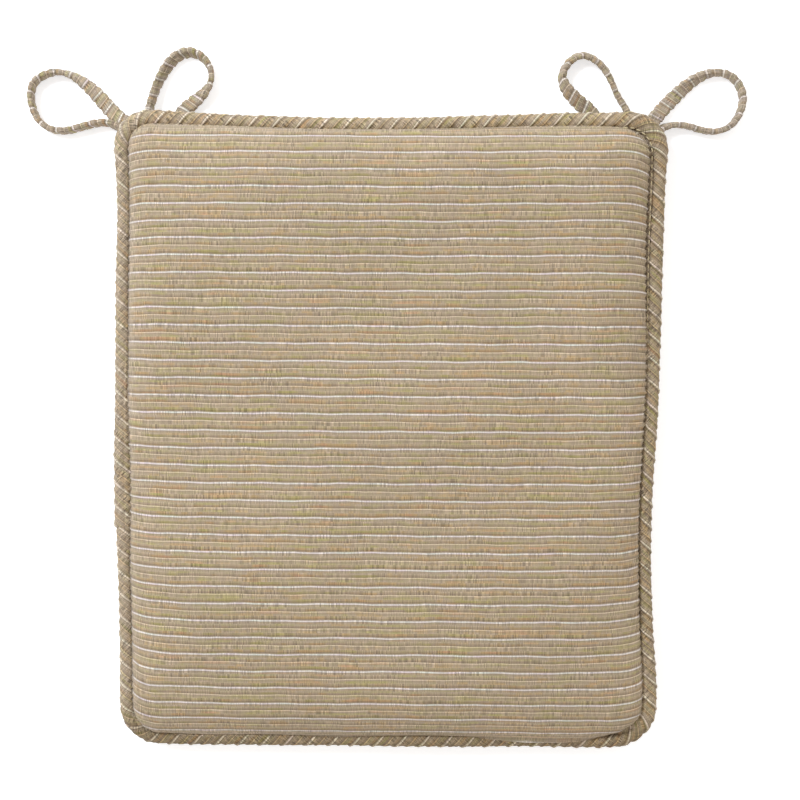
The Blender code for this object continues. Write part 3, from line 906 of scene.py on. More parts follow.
def make_face(cloth, cover):
    def smooth_height(x, y):
        inset = inset_of(x, y)
        return face_height(inset) + lumps(x, y) * rise(inset, PANEL_INSET, 0.03) + puckers(x, y, inset)

    def plain_height(x, y):
        return face_height(inset_of(x, y))

    rows, across_at = stripe_rows(plain_height, FACE_STRIPE_START, FACE_ROWS)
    places = columns_of(FACE_COLUMNS)
    points, x, y = panel_points(rows, places, smooth_height, face_gap)
    wrinkles = spread_wrinkles(cover, cover[2], rows, places)
    points += soften_field(wrinkles, FACE_SOFTENED_ROWS, FACE_SOFTENED_COLUMNS)
    along = points[..., 0]
    across = across_at(points[..., 1]) + edge_dip(x, y) + wander(along, points[..., 1])
    points += grid_normals(points) * rib(across)[..., None]
    points[..., 2] = np.maximum(points[..., 2], over_welt(points[..., 0], points[..., 1]))
    face = add_object("face_cloth", points, grid_faces(*across.shape), cloth)
    set_cloth(face, along, across, FACE_NUMBER)
    # Paler near the seam all round, most of all on the left: there painted light, where the edge rolls down
    # towards the lamp
    at_left = rise(-x, 0, 0.1)
    near_seam = np.exp(-(rise(inset_of(x, y), PANEL_INSET, 0.0030 + 0.0022 * at_left, 100.0) ** 2))
    set_tone_shift(face, "lightened", near_seam * (0.25 + 0.22 * at_left))
    thicken(face, CLOTH_THICKNESS)
    finish_piece(face, "panel_fabric", "face_panel")


def near_zip(y):
    return bell(y, LIP_MIDDLE, 0.03)


def underside_height(x, y):
    """The underside, with cloth rolled in along the zip's mouth and along the seam beyond its ends."""
    inset = inset_of(x, y)
    level = under_height(inset)
    fade = rise(inset, PANEL_INSET, 0.02) * rise(level, 0, 0.004)
    in_mouth = np.clip((MOUTH - np.abs(x)) / 0.004 + 0.5, 0, 1)
    rolled = 0.0009 * in_mouth * (bell(y, LIP_FRONT, 0.0013) + bell(y, LIP_REAR, 0.0013))
    rolled += 0.0012 * (1 - in_mouth) * bell(y, PANELS_MEET, 0.0018)
    return level + (lumps(x, y) * 0.5 * fade - puckers(x, y, inset)) * (1 - near_zip(y)) + rolled


def make_underside(cloth, cover):
    """The two lower panels, parted at the zip's opening."""
    all_rows, across_at = stripe_rows(underside_height, UNDER_STRIPE_START, UNDER_ROWS)
    places = columns_of(UNDER_COLUMNS, (-MOUTH / PANEL_HALF_X, MOUTH / PANEL_HALF_X))
    middle_x = np.abs(places[:-1] + places[1:]) / 2 * PANEL_HALF_X
    for end, low, high, lip, back in (
        ("front", -PANEL_HALF_Y, PANELS_MEET, LIP_FRONT, -1),
        ("rear", PANELS_MEET, PANEL_HALF_Y, LIP_REAR, 1),
    ):
        folds = [lip, lip + back * 0.0005, lip + back * 0.0012]
        folds = np.array(folds + [PANELS_MEET + back * 0.0006, PANELS_MEET + back * 0.0014])
        clear = np.abs(all_rows[:, None] - folds[None, :]).min(axis=1) > 0.0005
        inner = all_rows[(all_rows > low + 0.0004) & (all_rows < high - 0.0004) & clear]
        rows = np.sort(np.concatenate(([low, high], folds, inner)))
        points, along, y = panel_points(rows, places, underside_height)
        points += spread_wrinkles(cover, cover[3], rows, places) * (1 - near_zip(y)[..., None])
        across = across_at(points[..., 1])
        points -= grid_normals(points) * rib(across)[..., None] * 0.8
        points[..., 2] = np.maximum(points[..., 2], 0.0)
        middle_y = (rows[:-1] + rows[1:]) / 2
        beyond = back * (middle_y - lip) < 0
        keep = ~(beyond[:, None] & (middle_x < MOUTH)[None, :])
        faces = turned(grid_faces(*across.shape, keep=keep))
        panel = add_object(f"underside_{end}_cloth", points, faces, cloth)
        set_cloth(panel, along, across, UNDERSIDE_NUMBER)
        drop_loose_points(panel)
        thicken(panel, CLOTH_THICKNESS)
        finish_piece(panel, "panel_fabric", f"underside_{end}_panel")


def drop_loose_points(item):
    bm = bmesh.new()
    bm.from_mesh(item.data)
    loose = [vertex for vertex in bm.verts if not vertex.link_faces]
    bmesh.ops.delete(bm, geom=loose, context="VERTS")
    bm.to_mesh(item.data)
    bm.free()


# The welt


def seam_path(spacing):
    """Points on the ideal seam line, anticlockwise from the welt's join, outward directions and run."""
    here = np.array((-SEAM_HALF_X, WELT_JOIN_Y))
    join = here
    middle = np.array((SEAM_HALF_X - CORNER_RADIUS, SEAM_HALF_Y - CORNER_RADIUS))
    pieces = []
    for side, start in (((-1, -1), pi), ((1, -1), 1.5 * pi), ((1, 1), 0.0), ((-1, 1), 0.5 * pi)):
        centre = middle * side
        before = centre + CORNER_RADIUS * np.array((cos(start), sin(start)))
        pieces.append((hypot(*(before - here)), here, unit(before - here)))
        pieces.append((CORNER_RADIUS * pi / 2, centre, start))
        here = centre + CORNER_RADIUS * np.array((-sin(start), cos(start)))
    pieces.append((hypot(*(join - here)), here, unit(join - here)))
    total = sum(length for length, _, _ in pieces)
    count = int(round(total / spacing))
    points = []
    outward = []
    for step in range(count + 1):
        left = total * step / count
        for length, first, second in pieces:
            if left <= length + 1e-9:
                break
            left -= length
        if isinstance(second, float):
            away = np.array((cos(second + left / CORNER_RADIUS), sin(second + left / CORNER_RADIUS)))
            points.append(first + CORNER_RADIUS * away)
        else:
            away = np.array((second[1], -second[0]))
            points.append(first + second * left)
        outward.append(away)
    return np.array(points), np.array(outward), np.linspace(0, total, count + 1)


def seam_centre(plan):
    """Points along the middle of the welt, where this pad's seam runs."""
    return np.stack([*warp(plan[:, 0], plan[:, 1]), np.full(len(plan), SEAM_HEIGHT)], axis=-1)


def spokes(outward, angles):
    """Directions from the seam line: straight outward, and at angles from there towards the top."""
    away = np.stack([outward[:, 0], outward[:, 1], np.zeros(len(outward))], axis=-1)
    return away, away[:, None, :] * np.cos(angles)[None, :, None] + UP * np.sin(angles)[None, :, None]


WELT_JOIN_Y = -0.076
WELT_SIDES = 26
WELT_BIAS = radians(48)
WELT_STRIPE_START = 0.0076
STITCH_PITCH = 0.0065

# Slow waves of the welt's height and thickness along its run: size, rate and start
WELT_RISES = ((0.0006, 21, 0), (0.0004, 47, 1))
WELT_SWELLS = ((0.00015, 35, 0), (0.0001, 83, 2))

# Where the welt is folded, full and bunched at three of its corners: place and reach
WELT_FOLD = (SEAM_HALF_X - 0.006, SEAM_HALF_Y - 0.006, 0.045)
WELT_FULL = (-SEAM_HALF_X, SEAM_HALF_Y, 0.05)
WELT_BUNCH = (SEAM_HALF_X - 0.012, 0.006 - SEAM_HALF_Y, 0.055)

# Over what length the join's upper end rises and its lower end is pressed down
LAPPED_LENGTH = 0.10
COVERED_LENGTH = 0.14


def bias_place(run, over):
    """The place on the flat cloth of points along the welt and over it: along the stripes and across."""
    along = run * cos(WELT_BIAS) - over * sin(WELT_BIAS)
    across = run * sin(WELT_BIAS) + over * cos(WELT_BIAS) + WELT_STRIPE_START
    return along, across


def make_welt(cloth):
    """The bias strip round its cord.  It starts and ends at a lapped join on the left side."""
    plan, outward, run = seam_path(STRIPE * sqrt(2) / 18)
    centre = seam_centre(plan)
    x, y = centre[:, 0], centre[:, 1]
    centre[:, 2] += waves(run, WELT_RISES)
    lapped = rise(run, run[-1] - LAPPED_LENGTH, LAPPED_LENGTH)
    covered = 1 - rise(run, 0, COVERED_LENGTH)
    fold = spot(x, y, *WELT_FOLD)
    size = WELT_RADIUS + 0.0002 + waves(run, WELT_SWELLS)
    size += 0.0003 * lapped - 0.0003 * covered
    size += 0.0017 * fold + 0.0010 * spot(x, y, *WELT_FULL)
    angles = pi - 2 * pi * np.arange(WELT_SIDES) / WELT_SIDES
    away, directions = spokes(outward, angles)
    along, across = bias_place(run[:, None], size[:, None] * (pi - angles)[None, :])
    size += 0.0004 * spot(x, y, *WELT_BUNCH) * np.sin(run * 820 + 1.7 * np.sin(run * 190))
    reach = size[:, None] + rib(across) * 2.5
    reach += 0.0007 * ridge(across, 0.0, 0.07) + 0.0005 * ridge(across, 0.47, 0.07)
    reach += waves(run[:, None], ((0.00012, 640, 5 * angles), (0.0001, 1100, -3 * angles)))
    core = centre + away * (0.0006 * lapped - 0.0004 * covered)[:, None]
    points = core[:, None, :] + directions * reach[..., None]
    faces = turned(tube_faces(len(run), WELT_SIDES))
    welt = add_object("welt_bias_strip", points, faces, cloth)
    set_cloth(welt, along, across, WELT_NUMBER)
    at_right, at_left = rise(x, SEAM_HALF_X - 0.03, 0.02), rise(-x, SEAM_HALF_X - 0.03, 0.02)
    at_front = rise(-y, SEAM_HALF_Y - 0.03, 0.02)
    # Darker along the front, down the right side and at the folded corner: painted shade, where the crown
    # and the fold shade the welt
    darkened = np.max([0.85 * at_front, 0.3 * at_right, 0.35 * fold], axis=0)
    set_tone_shift(welt, "darkened", np.repeat(darkened, WELT_SIDES))
    # Paler along the left side: painted light, as from the lamp on the left
    set_tone_shift(welt, "lightened", np.repeat(0.28 * at_left * (1 - at_front), WELT_SIDES))
    finish_piece(welt, "welt_fabric", "welt_cover")


def make_filler_cord(material):
    """Three plies laid round each other inside the welt."""
    plan, outward, run = (values[:-1] for values in seam_path(0.0016))
    total = run[-1] + run[1]
    sides = 15
    angles = -2 * pi * np.arange(sides) / sides
    lay = angles[None, :] + run[:, None] * 2 * pi * round(total / 0.016) / total
    reach = 0.0029 + 0.0004 * np.abs(np.cos(1.5 * lay))
    points = seam_centre(plan)[:, None, :] + spokes(outward, angles)[1] * reach[..., None]
    faces = turned(tube_faces(len(run), sides, closed=True))
    cord = add_object("welt_filler_cord", points, faces, material)
    finish_piece(cord, "cotton_cord", "welt_cord")


def ladder_share(x, y):
    """Where the seam's stitches show: up the right side, a short way on the left, a little elsewhere."""
    on_left = 0.25 + 0.75 * bell(y, -0.04, 0.09)
    on_right = 0.2 + 0.5 * rise(y, -0.2, 0.1)
    return 0.3 + rise(x, 0.19, 0.01) * on_right + rise(-x, 0.19, 0.01) * (on_left - 0.3)


def open_share(x, y):
    """Where the ditch beside the welt lies open."""
    return np.maximum(rise(x, 0.19, 0.01) * bell(y, 0.17, 0.16), 0.8 * rise(y, 0.23, 0.01))


# The seam allowance seen end on, in millimetres: depth into the pad and height above the seam.
# Its upper side is sunk where the ditch is open, and else fills it
FLANGE_OPEN = ((3.0, 1.0), (4.9, 1.7), (5.6, 4.2), (6.9, 4.3), (7.8, 2.0), (12.5, 1.0))
FLANGE_FILLED = ((2.0, 4.2), (3.4, 4.6), (4.4, 4.5), (5.2, 3.1), (8.4, 3.0), (12.5, 1.0))
FLANGE_UNDER = ((12.5, -1.0), (8.6, -1.5), (5.8, -1.9), (3.0, -1.0))
FLANGE_FOLLOWS_PANEL = (0, 0, 1, 1, 0, 0)
FLANGE_DRAWN_BY_STITCH = (0, 0.4, 1, 1, 0, 0, 0, 0, 0, 0)

# Where the seam allowance is sunk out of sight at the corners: depth, place and reach
FLANGE_SUNK = (
    (0.0034, SEAM_HALF_X - 0.01, SEAM_HALF_Y - 0.01, 0.042), (0.0036, 0.182, -SEAM_HALF_Y, 0.034),
    (0.0018, -0.185, -SEAM_HALF_Y, 0.034),
)


def make_flange(cloth):
    """The welt's own seam allowance, which shows in the ditch where the panel stands back."""
    plan, outward, run = (values[:-1] for values in seam_path(STITCH_PITCH / 8))
    x, y = plan.T
    share = open_share(x, y)[:, None]
    edge_x, edge_y = x - outward[:, 0] * PANEL_INSET, y - outward[:, 1] * PANEL_INSET
    back_x, back_y = face_gap(edge_x, edge_y)
    back = (edge_x - back_x) * outward[:, 0] + (edge_y - back_y) * outward[:, 1]
    back = np.clip(back, -0.0006, 0.0030)[:, None] * (1 - share)
    upper = share[..., None] * np.array(FLANGE_OPEN) + (1 - share[..., None]) * np.array(FLANGE_FILLED)
    upper *= MM
    upper[..., 0] += np.array(FLANGE_FOLLOWS_PANEL) * back
    lower = np.repeat(np.array(FLANGE_UNDER)[None] * MM, len(run), axis=0)
    section = np.concatenate([upper, lower], axis=1)
    depth, level = section[..., 0], section[..., 1]
    pulled = (level > 0) & (depth < 0.0075)
    hole = np.exp(-((np.mod(run / STITCH_PITCH, 1.0) - 0.5) / 0.2) ** 2) * ladder_share(x, y)
    sunk = sum(size * spot(x, y, *place) for size, *place in FLANGE_SUNK)
    level = level - pulled * (0.0014 * hole[:, None] * np.array(FLANGE_DRAWN_BY_STITCH) + sunk[:, None])
    moved_x, moved_y = warp(x[:, None] - outward[:, :1] * depth, y[:, None] - outward[:, 1:] * depth)
    points = np.stack([moved_x, moved_y, SEAM_HEIGHT + level], axis=-1)
    faces = turned(tube_faces(*depth.shape, closed=True))
    flange = add_object("welt_flange", points, faces, cloth)
    along, across = bias_place(run[:, None], WELT_RADIUS * pi / 2 - depth)
    set_cloth(flange, along, across, WELT_NUMBER)
    # Paler all along, most where the ditch lies open: painted light on the seam allowance, which sits in the
    # ditch's shade
    set_tone_shift(flange, "lightened", np.repeat(0.1 + 0.3 * share, depth.shape[1], axis=1))
    finish_piece(flange, "welt_fabric")


# Stitches


# A stitch from end to end: share of its length, share of its width, and how far it sinks in
STITCH_PROFILE = (
    (-0.5, 0.05, -0.6), (-0.42, 0.7, -0.25), (-0.2, 1.0, 0.0), (0.2, 1.0, 0.0), (0.42, 0.7, -0.25),
    (0.5, 0.05, -0.6),
)
STITCH_SIDES = 6


def make_stitches(name, places, ways, ups, length, thickness, material, slot):
    """Short rounded stitches, one per place, in one mesh."""
    points = []
    faces = []
    one = tube_faces(len(STITCH_PROFILE), STITCH_SIDES)
    for place, way, up in zip(places, ways, ups):
        way = way.normalized()
        side = way.cross(up)
        faces += [tuple(len(points) + index for index in face) for face in one]
        for share, width, sink in STITCH_PROFILE:
            middle = place + way * share * length + up * sink * thickness
            swell = width * thickness / 2
            for step in range(STITCH_SIDES):
                angle = 2 * pi * step / STITCH_SIDES
                points.append(middle + side * cos(angle) * swell + up * sin(angle) * swell)
    finish_piece(add_object(name, points, faces, material), slot)


def make_ditch_stitches(material):
    """The seam's stitching, which shows along the ditch beside the welt."""
    plan, outward, _ = seam_path(STITCH_PITCH)
    x, y = warp(*(plan - outward * 0.0063).T)
    level = SEAM_HEIGHT + 0.0044
    shown = [index for index in range(len(plan) - 1) if open_share(*plan[index]) >= 0.3]
    places = [Vector((x[index], y[index], level)) for index in shown]
    ways = [Vector((x[index + 1], y[index + 1], level)) - place for index, place in zip(shown, places)]
    ups = [Vector((0, 0, 1))] * len(places)
    make_stitches("ditch_stitches", places, ways, ups, STITCH_PITCH * 0.6, 0.0011, material, "welt_fabric")


# The ties


def smooth_route(route, count):
    """Points at even spacing along a Catmull-Rom curve through the route's own points."""
    knots = [Vector((*point, TIE_REST_LEVEL)[:3]) * MM for point in route]
    knots = [2 * knots[0] - knots[1], *knots, 2 * knots[-1] - knots[-2]]
    fine = []
    for before, start, end, after in zip(knots, knots[1:], knots[2:], knots[3:]):
        for step in range(12):
            t = step / 12
            curve = 2 * start + (end - before) * t
            curve += (2 * before - 5 * start + 4 * end - after) * t * t
            curve += (3 * start - before - 3 * end + after) * t**3
            fine.append(curve / 2)
    fine = np.array([*fine, knots[-2]])
    travelled = travel(fine)
    marks = np.linspace(0, travelled[-1], count)
    return np.stack([np.interp(marks, travelled, fine[:, axis]) for axis in range(3)], axis=-1), marks


def tie_section():
    """A folded strip seen end on: round folds on one side, two folds with a slit on the other."""
    half = TIE_WIDTH / 2
    outline = (
        (half, -0.35), (half + 0.0001, 0.3), (half - 0.0006, 0.85), (half - 0.002, 1.0),
        (half * 0.35, 0.98), (0.0, 1.0), (-half * 0.35, 0.98), (0.002 - half, 1.0),
        (0.0006 - half, 0.8), (-half, 0.35), (0.0009 - half, 0.0), (-half, -0.35),
        (0.0006 - half, -0.8), (0.002 - half, -1.0), (-half * 0.35, -0.98), (0.0, -1.0),
        (half * 0.35, -0.98), (half - 0.002, -1.0), (half - 0.0006, -0.85),
    )
    return np.array(outline) * (1.0, TIE_THICKNESS / 2)


def make_tie(name, cloth, number):
    count = int(round(0.250 / (STRIPE / 14)))
    line, run = smooth_route(TIE_ROUTES[name], count)
    turn = np.interp(run / run[-1], *zip(*TIE_TWISTS[name]))
    kernel = np.hanning(19)
    turn = np.convolve(np.pad(turn, 9, mode="edge"), kernel / kernel.sum(), mode="valid")[:, None] * pi / 2
    ways = unit(np.gradient(line, axis=0))
    side = unit(np.cross(UP, ways))
    top = np.cross(ways, side)
    wide = side * np.cos(turn) + top * np.sin(turn)
    flat = top * np.cos(turn) - side * np.sin(turn)
    stand = TIE_WIDTH / 2 * np.abs(np.sin(turn)) + TIE_THICKNESS / 2 * np.abs(np.cos(turn))
    line[:, 2:] = np.maximum(line[:, 2:] - TIE_REST_LEVEL * MM, 0) + stand + 0.0003
    section = tie_section()
    across = run[:, None] + 0.25 * section[None, :, 0] + number * 0.0041
    swell = 1 + 0.05 * np.sin(run * 2100 + 3 * np.sin(run * 330))[:, None]
    swell = swell + 3.0 * rib(across) / TIE_THICKNESS
    offsets = wide[:, None, :] * section[None, :, :1] + flat[:, None, :] * section[None, :, 1:]
    points = line[:, None, :] + offsets * swell[..., None]
    points[..., 2] = np.maximum(points[..., 2], 0.0001)
    tie = add_object(name + "_strip", points, tube_faces(*across.shape), cloth)
    along = np.repeat(travel(section)[None, :], count, axis=0)
    set_cloth(tie, along, across, FIRST_TIE_NUMBER + TIE_NUMBER_STEP * number)
    set_tone_shift(tie, "lightened", np.full_like(across, TIE_LIGHTENED[number]))
    set_tone_shift(tie, "darkened", np.full_like(across, TIE_DARKENED[number]))
    finish_piece(tie, "tie_fabric", name)
    tuple(line[0])
    round(float(travel(line)[-1]), 3)
    [tuple(point) for point in line]


# The filling


LAYER_ROWS = 90
LAYER_COLUMNS = 80
LAYER_CORNER = 0.022
FOAM_START = 0.0097
WRAP_START = 0.0042
WRAP_UNDER_FACE = 0.0030
WRAP_OVER_UNDERSIDE = 0.0052
WRAP_GAP = 0.0008


def make_layer(name, node, slot, material, start, top_at, bottom_at, top_lumps=0.0, bottom_lumps=0.0):
    """One closed layer of the filling, between two heights, that starts so far inside the panels."""
    half_y = PANEL_HALF_Y - start
    rows = np.sin(np.linspace(-1, 1, LAYER_ROWS) * pi / 2) * half_y
    places = np.sin(np.linspace(-1, 1, LAYER_COLUMNS) * pi / 2)
    x = half_width_at(rows, PANEL_HALF_X - start, half_y, LAYER_CORNER)[:, None] * places
    y = np.repeat(rows[:, None], LAYER_COLUMNS, axis=1)
    inset = inset_of(x, y)
    uneven = lumps(x * 3, y * 3)
    bottom = bottom_at(inset) + bottom_lumps * uneven
    top = np.maximum(top_at(inset) + top_lumps * uneven, bottom + 0.0005)
    moved_x, moved_y = face_gap(*warp(x, y), cover=False)
    upper, lower = (np.stack([moved_x, moved_y, level], axis=-1) for level in (top, bottom))
    points, faces, _ = closed_sheets(upper, lower)
    layer = add_object(name, points, faces, material)
    finish_piece(layer, slot, node)


def make_filling():
    foam_low, foam_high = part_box("foam_core")
    foam = foam_material()
    fibre = fibre_material()

    def foam_top(inset, over=0.0):
        step = rise(inset, PANEL_INSET + FOAM_START, FACE_SHOULDER - FOAM_START)
        dome = rise(inset, FACE_SHOULDER, DOME_INSET - FACE_SHOULDER)
        shoulder = foam_high.z - DOME_RISE - FACE_LOW.z
        return FACE_LOW.z + shoulder * bulge(step, FACE_FULLNESS) + DOME_RISE * dome + over

    def foam_bottom(inset, under=0.0):
        step = rise(inset, PANEL_INSET + FOAM_START, UNDER_SHOULDER - FOAM_START)
        return foam_low.z + (UNDER_TOP - foam_low.z) * (1 - bulge(step, UNDER_FULLNESS)) - under

    make_layer(
        "fibre_wrap_upper", "fibre_wrap_top", "fibre", fibre, WRAP_START,
        lambda inset: face_height(inset) - WRAP_UNDER_FACE, lambda inset: foam_top(inset, WRAP_GAP),
        top_lumps=0.4,
    )
    make_layer(
        "fibre_wrap_lower", "fibre_wrap_bottom", "fibre", fibre, WRAP_START,
        lambda inset: foam_bottom(inset, WRAP_GAP), lambda inset: under_height(inset) + WRAP_OVER_UNDERSIDE,
        bottom_lumps=0.4,
    )
    make_layer("foam_core_block", "foam_core", "foam", foam, FOAM_START, foam_top, foam_bottom)
    make_filler_cord(cord_material())


# The zip

# Half the thickness of the coils, from their outer face to their middle
COIL_MIDDLE = 0.001


def zip_joint():
    return next(item for item in frame["joints"] if item["name"] == "zip_pull_turn")


def zip_axes():
    """The zip's uphill direction and the direction into the pad."""
    uphill = -Vector(zip_joint()["axis"]).normalized()
    return uphill, Vector((1, 0, 0)).cross(uphill)


def zip_frame():
    """A function that gives points on the zip: along it, uphill from its middle and into the pad."""
    uphill, inward = zip_axes()
    corners = [*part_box("zip_coil_front"), *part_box("zip_coil_rear")]
    middle = sum(corners, Vector()) / 4 - inward * COIL_MIDDLE
    middle.x = 0

    def at(along, up, into):
        return middle + Vector((along, 0, 0)) + uphill * up + inward * into

    return at


def both_sides(half):
    """A ring from half of it, which starts and ends on the middle line."""
    return half + [(-up, into) for up, into in reversed(half[1:-1])]


def shell(name, rings, material):
    """A closed shell through rings of points, with flat ends."""
    points = [point for ring in rings for point in ring]
    made = add_object(name, points, tube_faces(len(rings), len(rings[0])), material)
    bm = bmesh.new()
    bm.from_mesh(made.data)
    bmesh.ops.recalc_face_normals(bm, faces=bm.faces)
    bm.to_mesh(made.data)
    bm.free()
    return made


def fuse(body, operation, *others):
    """Join other shells to a body, or cut them from it, for good."""
    for other in others:
        step = body.modifiers.new("join", "BOOLEAN")
        step.operation = operation
        step.solver = "EXACT"
        step.object = other
    joined = bpy.data.meshes.new_from_object(body.evaluated_get(bpy.context.evaluated_depsgraph_get()))
    joined.set_sharp_from_angle(angle=radians(40))
    body.modifiers.clear()
    body.data = joined
    for other in others:
        bpy.data.objects.remove(other)


COIL_PITCH = 0.0013
COIL_STEPS = 12
WIRE_RADIUS = 0.00034
WIRE_SIDES = 6


def make_coil(end, side, at, material):
    """One nylon coil: a flattened helix along the edge of its tape."""
    low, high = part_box(f"zip_coil_{end}")
    turns = int((high.x - low.x) / COIL_PITCH) - 1
    line = []
    for step in range(turns * COIL_STEPS + 1):
        angle = 2 * pi * step / COIL_STEPS + (0 if side > 0 else pi)
        along = low.x + COIL_PITCH * (0.75 + step / COIL_STEPS)
        line.append(at(along, side * 0.00105 + 0.0012 * cos(angle), COIL_MIDDLE + 0.0007 * sin(angle)))
    line = np.array(line)
    ways = unit(np.gradient(line, axis=0))
    first = unit(np.cross(ways, np.array((0.37, 0.61, 0.70))))[:, None, :]
    second = np.cross(ways, first[:, 0])[:, None, :]
    angles = 2 * pi * np.arange(WIRE_SIDES)[None, :, None] / WIRE_SIDES
    round_it = first * np.cos(angles) + second * np.sin(angles)
    wire = shell(f"zip_coil_{end}_wire", (line[:, None, :] + round_it * WIRE_RADIUS).tolist(), material)
    finish_piece(wire, "zip_coil", f"zip_coil_{end}")


# A tape seen end on, in millimetres: distance from the middle of the zip and depth into the pad
TAPE_SECTION = (
    (0.6, 2.42), (0.75, 2.24), (1.05, 2.2), (1.3, 2.3), (2.7, 2.3), (2.9, 2.2), (3.1, 2.3), (4.7, 2.3),
    (4.9, 2.22), (5.1, 2.3), (6.6, 2.3), (6.8, 2.22), (7.0, 2.3), (8.3, 2.32), (8.5, 2.45),
    (8.5, 2.68), (8.3, 2.8), (4.9, 2.8), (1.05, 2.8), (0.75, 2.76), (0.6, 2.62),
)


def make_tape(end, side, at, material):
    """One woven tape: a corded edge by the coil, then flat bands between raised ribs."""
    low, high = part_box(f"zip_tape_{end}")
    rings = []
    for along in np.linspace(low.x, high.x, 206):
        wave = 0.05 * sin(along * 190) + 0.03 * sin(along * 517 + side)
        rings.append([at(along, side * up * MM, (into + wave * up / 8) * MM) for up, into in TAPE_SECTION])
    finish_piece(shell(f"zip_tape_{end}_woven", rings, material), "zip_tape", f"zip_tape_{end}")


# Half of a stop clip, in millimetres: place across the zip, half length, outer and inner level
STOP_HALF = (
    (-3.4, 0.85, 0.35, 1.7), (-3.3, 1.05, 0.05, 2.0), (-3.0, 1.18, -0.15, 2.15), (-2.2, 1.2, -0.3, 2.2),
    (-1.2, 1.2, -0.35, 2.2), (-0.5, 1.12, -0.28, 2.2), (0.0, 1.05, -0.1, 2.2),
)
STOP_BEVEL = 0.28


def make_stop(end, at, material):
    """A metal clip crimped round both coils, pinched between them."""
    low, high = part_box(f"zip_stop_{end}")
    middle = (low.x + high.x) / 2
    rings = []
    for up, reach, out, into in [*STOP_HALF, *[(-up, *rest) for up, *rest in reversed(STOP_HALF[:-1])]]:
        inner = reach - STOP_BEVEL
        ring = [(inner, out), (reach, out + STOP_BEVEL), (reach, into - STOP_BEVEL), (inner, into)]
        ring += [(-along, level) for along, level in reversed(ring)]
        rings.append([at(middle + along * MM, up * MM, level * MM) for along, level in ring])
    finish_piece(shell(f"zip_stop_{end}_clip", rings, material), "zip_metal", f"zip_stop_{end}")


# The slider in millimetres.  Its plates: place along the zip, half width, for the outer plate how
# deep its flange goes, and how full the section is at that place
OUTER_PLATE = (
    (-6.0, 3.5, -0.3, 0.5), (-5.9, 3.7, -0.3, 0.8), (-5.6, 3.9, -0.3, 1.0), (-4.9, 4.05, 0.2, 1.0),
    (-4.4, 4.1, 1.1, 1.0), (-3.8, 4.1, 1.4, 1.0), (-1.0, 4.3, 1.4, 1.0), (1.5, 4.7, 1.4, 1.0),
    (3.0, 4.95, 1.2, 1.0), (3.6, 5.0, 0.6, 1.0), (4.1, 5.0, -0.1, 1.0), (4.9, 4.85, -0.3, 1.0),
    (5.5, 4.5, -0.3, 1.0), (5.85, 4.15, -0.3, 0.85), (6.0, 3.9, -0.3, 0.5),
)
INNER_PLATE = (
    (-5.6, 3.3, 0.5), (-5.4, 3.6, 0.85), (-5.0, 3.8, 1.0), (0.0, 4.1, 1.0), (3.5, 4.6, 1.0),
    (4.8, 4.4, 1.0), (5.2, 4.1, 0.85), (5.4, 3.7, 0.5),
)
OUTER_CORE = -0.8
INNER_CORE = 3.5
DIVIDER_HALF = ((0.4, 0.05), (1.2, 0.25), (3.2, 0.4), (4.9, 0.3), (5.5, 0.05))
DIVIDER_LEVELS = (-0.6, 3.4)
BRIDGE_HALF = ((-2.75, -0.9), (-2.75, -1.8), (-2.7, -2.5), (-2.45, -3.1), (-1.9, -3.42), (-1.0, -3.5))
BRIDGE_SECTION = ((1.1, -0.15), (1.1, 0.15), (0.9, 0.36), (0, 0.38), (-0.9, 0.36))


def outer_half(wide, flange):
    half = [(0, -1.3), (wide - 1.2, -1.28), (wide - 0.45, -1.18), (wide - 0.12, -0.95), (wide, -0.6)]
    half += [(wide, max(flange - 0.12, -0.42)), (wide - 0.15, flange), (wide - 0.55, flange)]
    return half + [(wide - 0.7, max(flange - 0.12, -0.3)), (wide - 0.8, -0.3), (0, -0.3)]


def inner_half(wide):
    half = [(0, 3.1), (wide - 0.35, 3.1), (wide - 0.1, 3.2), (wide, 3.4), (wide, 3.6), (wide - 0.1, 3.8)]
    return half + [(wide - 0.35, 3.9), (0, 3.9)]


def mirrored(half):
    """A ring from half of it, given as pairs, with the second number turned over."""
    return [*half, *[(first, -second) for first, second in reversed(half)]]


def make_slider(at, material):
    """Two plates joined by a divider, with flanges round the coils and an arched bridge."""
    low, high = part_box("zip_slider")
    middle = (low.x + high.x) / 2

    def point(along, up, into):
        return at(middle + along * MM, up * MM, into * MM)

    def plate(name, stations, core, outline):
        rings = []
        for along, *sizes, full in stations:
            drawn = (1 - full) * 0.5
            rings.append([
                point(along, up - np.sign(up) * min(abs(up), drawn), core + (into - core) * full)
                for up, into in both_sides(outline(*sizes))
            ])
        return shell(name, rings, material)

    outer = plate("zip_slider_body", OUTER_PLATE, OUTER_CORE, outer_half)
    inner = plate("zip_slider_inner", INNER_PLATE, INNER_CORE, inner_half)
    wedge = [[point(along, up, into) for along, up in mirrored(DIVIDER_HALF)] for into in DIVIDER_LEVELS]
    divider = shell("zip_slider_divider", wedge, material)
    arch = np.array([*BRIDGE_HALF, (0.0, -3.5), *[(-along, into) for along, into in reversed(BRIDGE_HALF)]])
    section = [*BRIDGE_SECTION, *[(-up, -off) for up, off in BRIDGE_SECTION]]
    bridge = shell("zip_slider_bridge", [
        [point(along - way[1] * off, up, into + way[0] * off) for up, off in section]
        for (along, into), way in zip(arch, unit(np.gradient(arch, axis=0)))
    ], material)
    fuse(outer, "UNION", inner, divider, bridge)
    finish_piece(outer, "zip_metal", "zip_slider", body="slider")


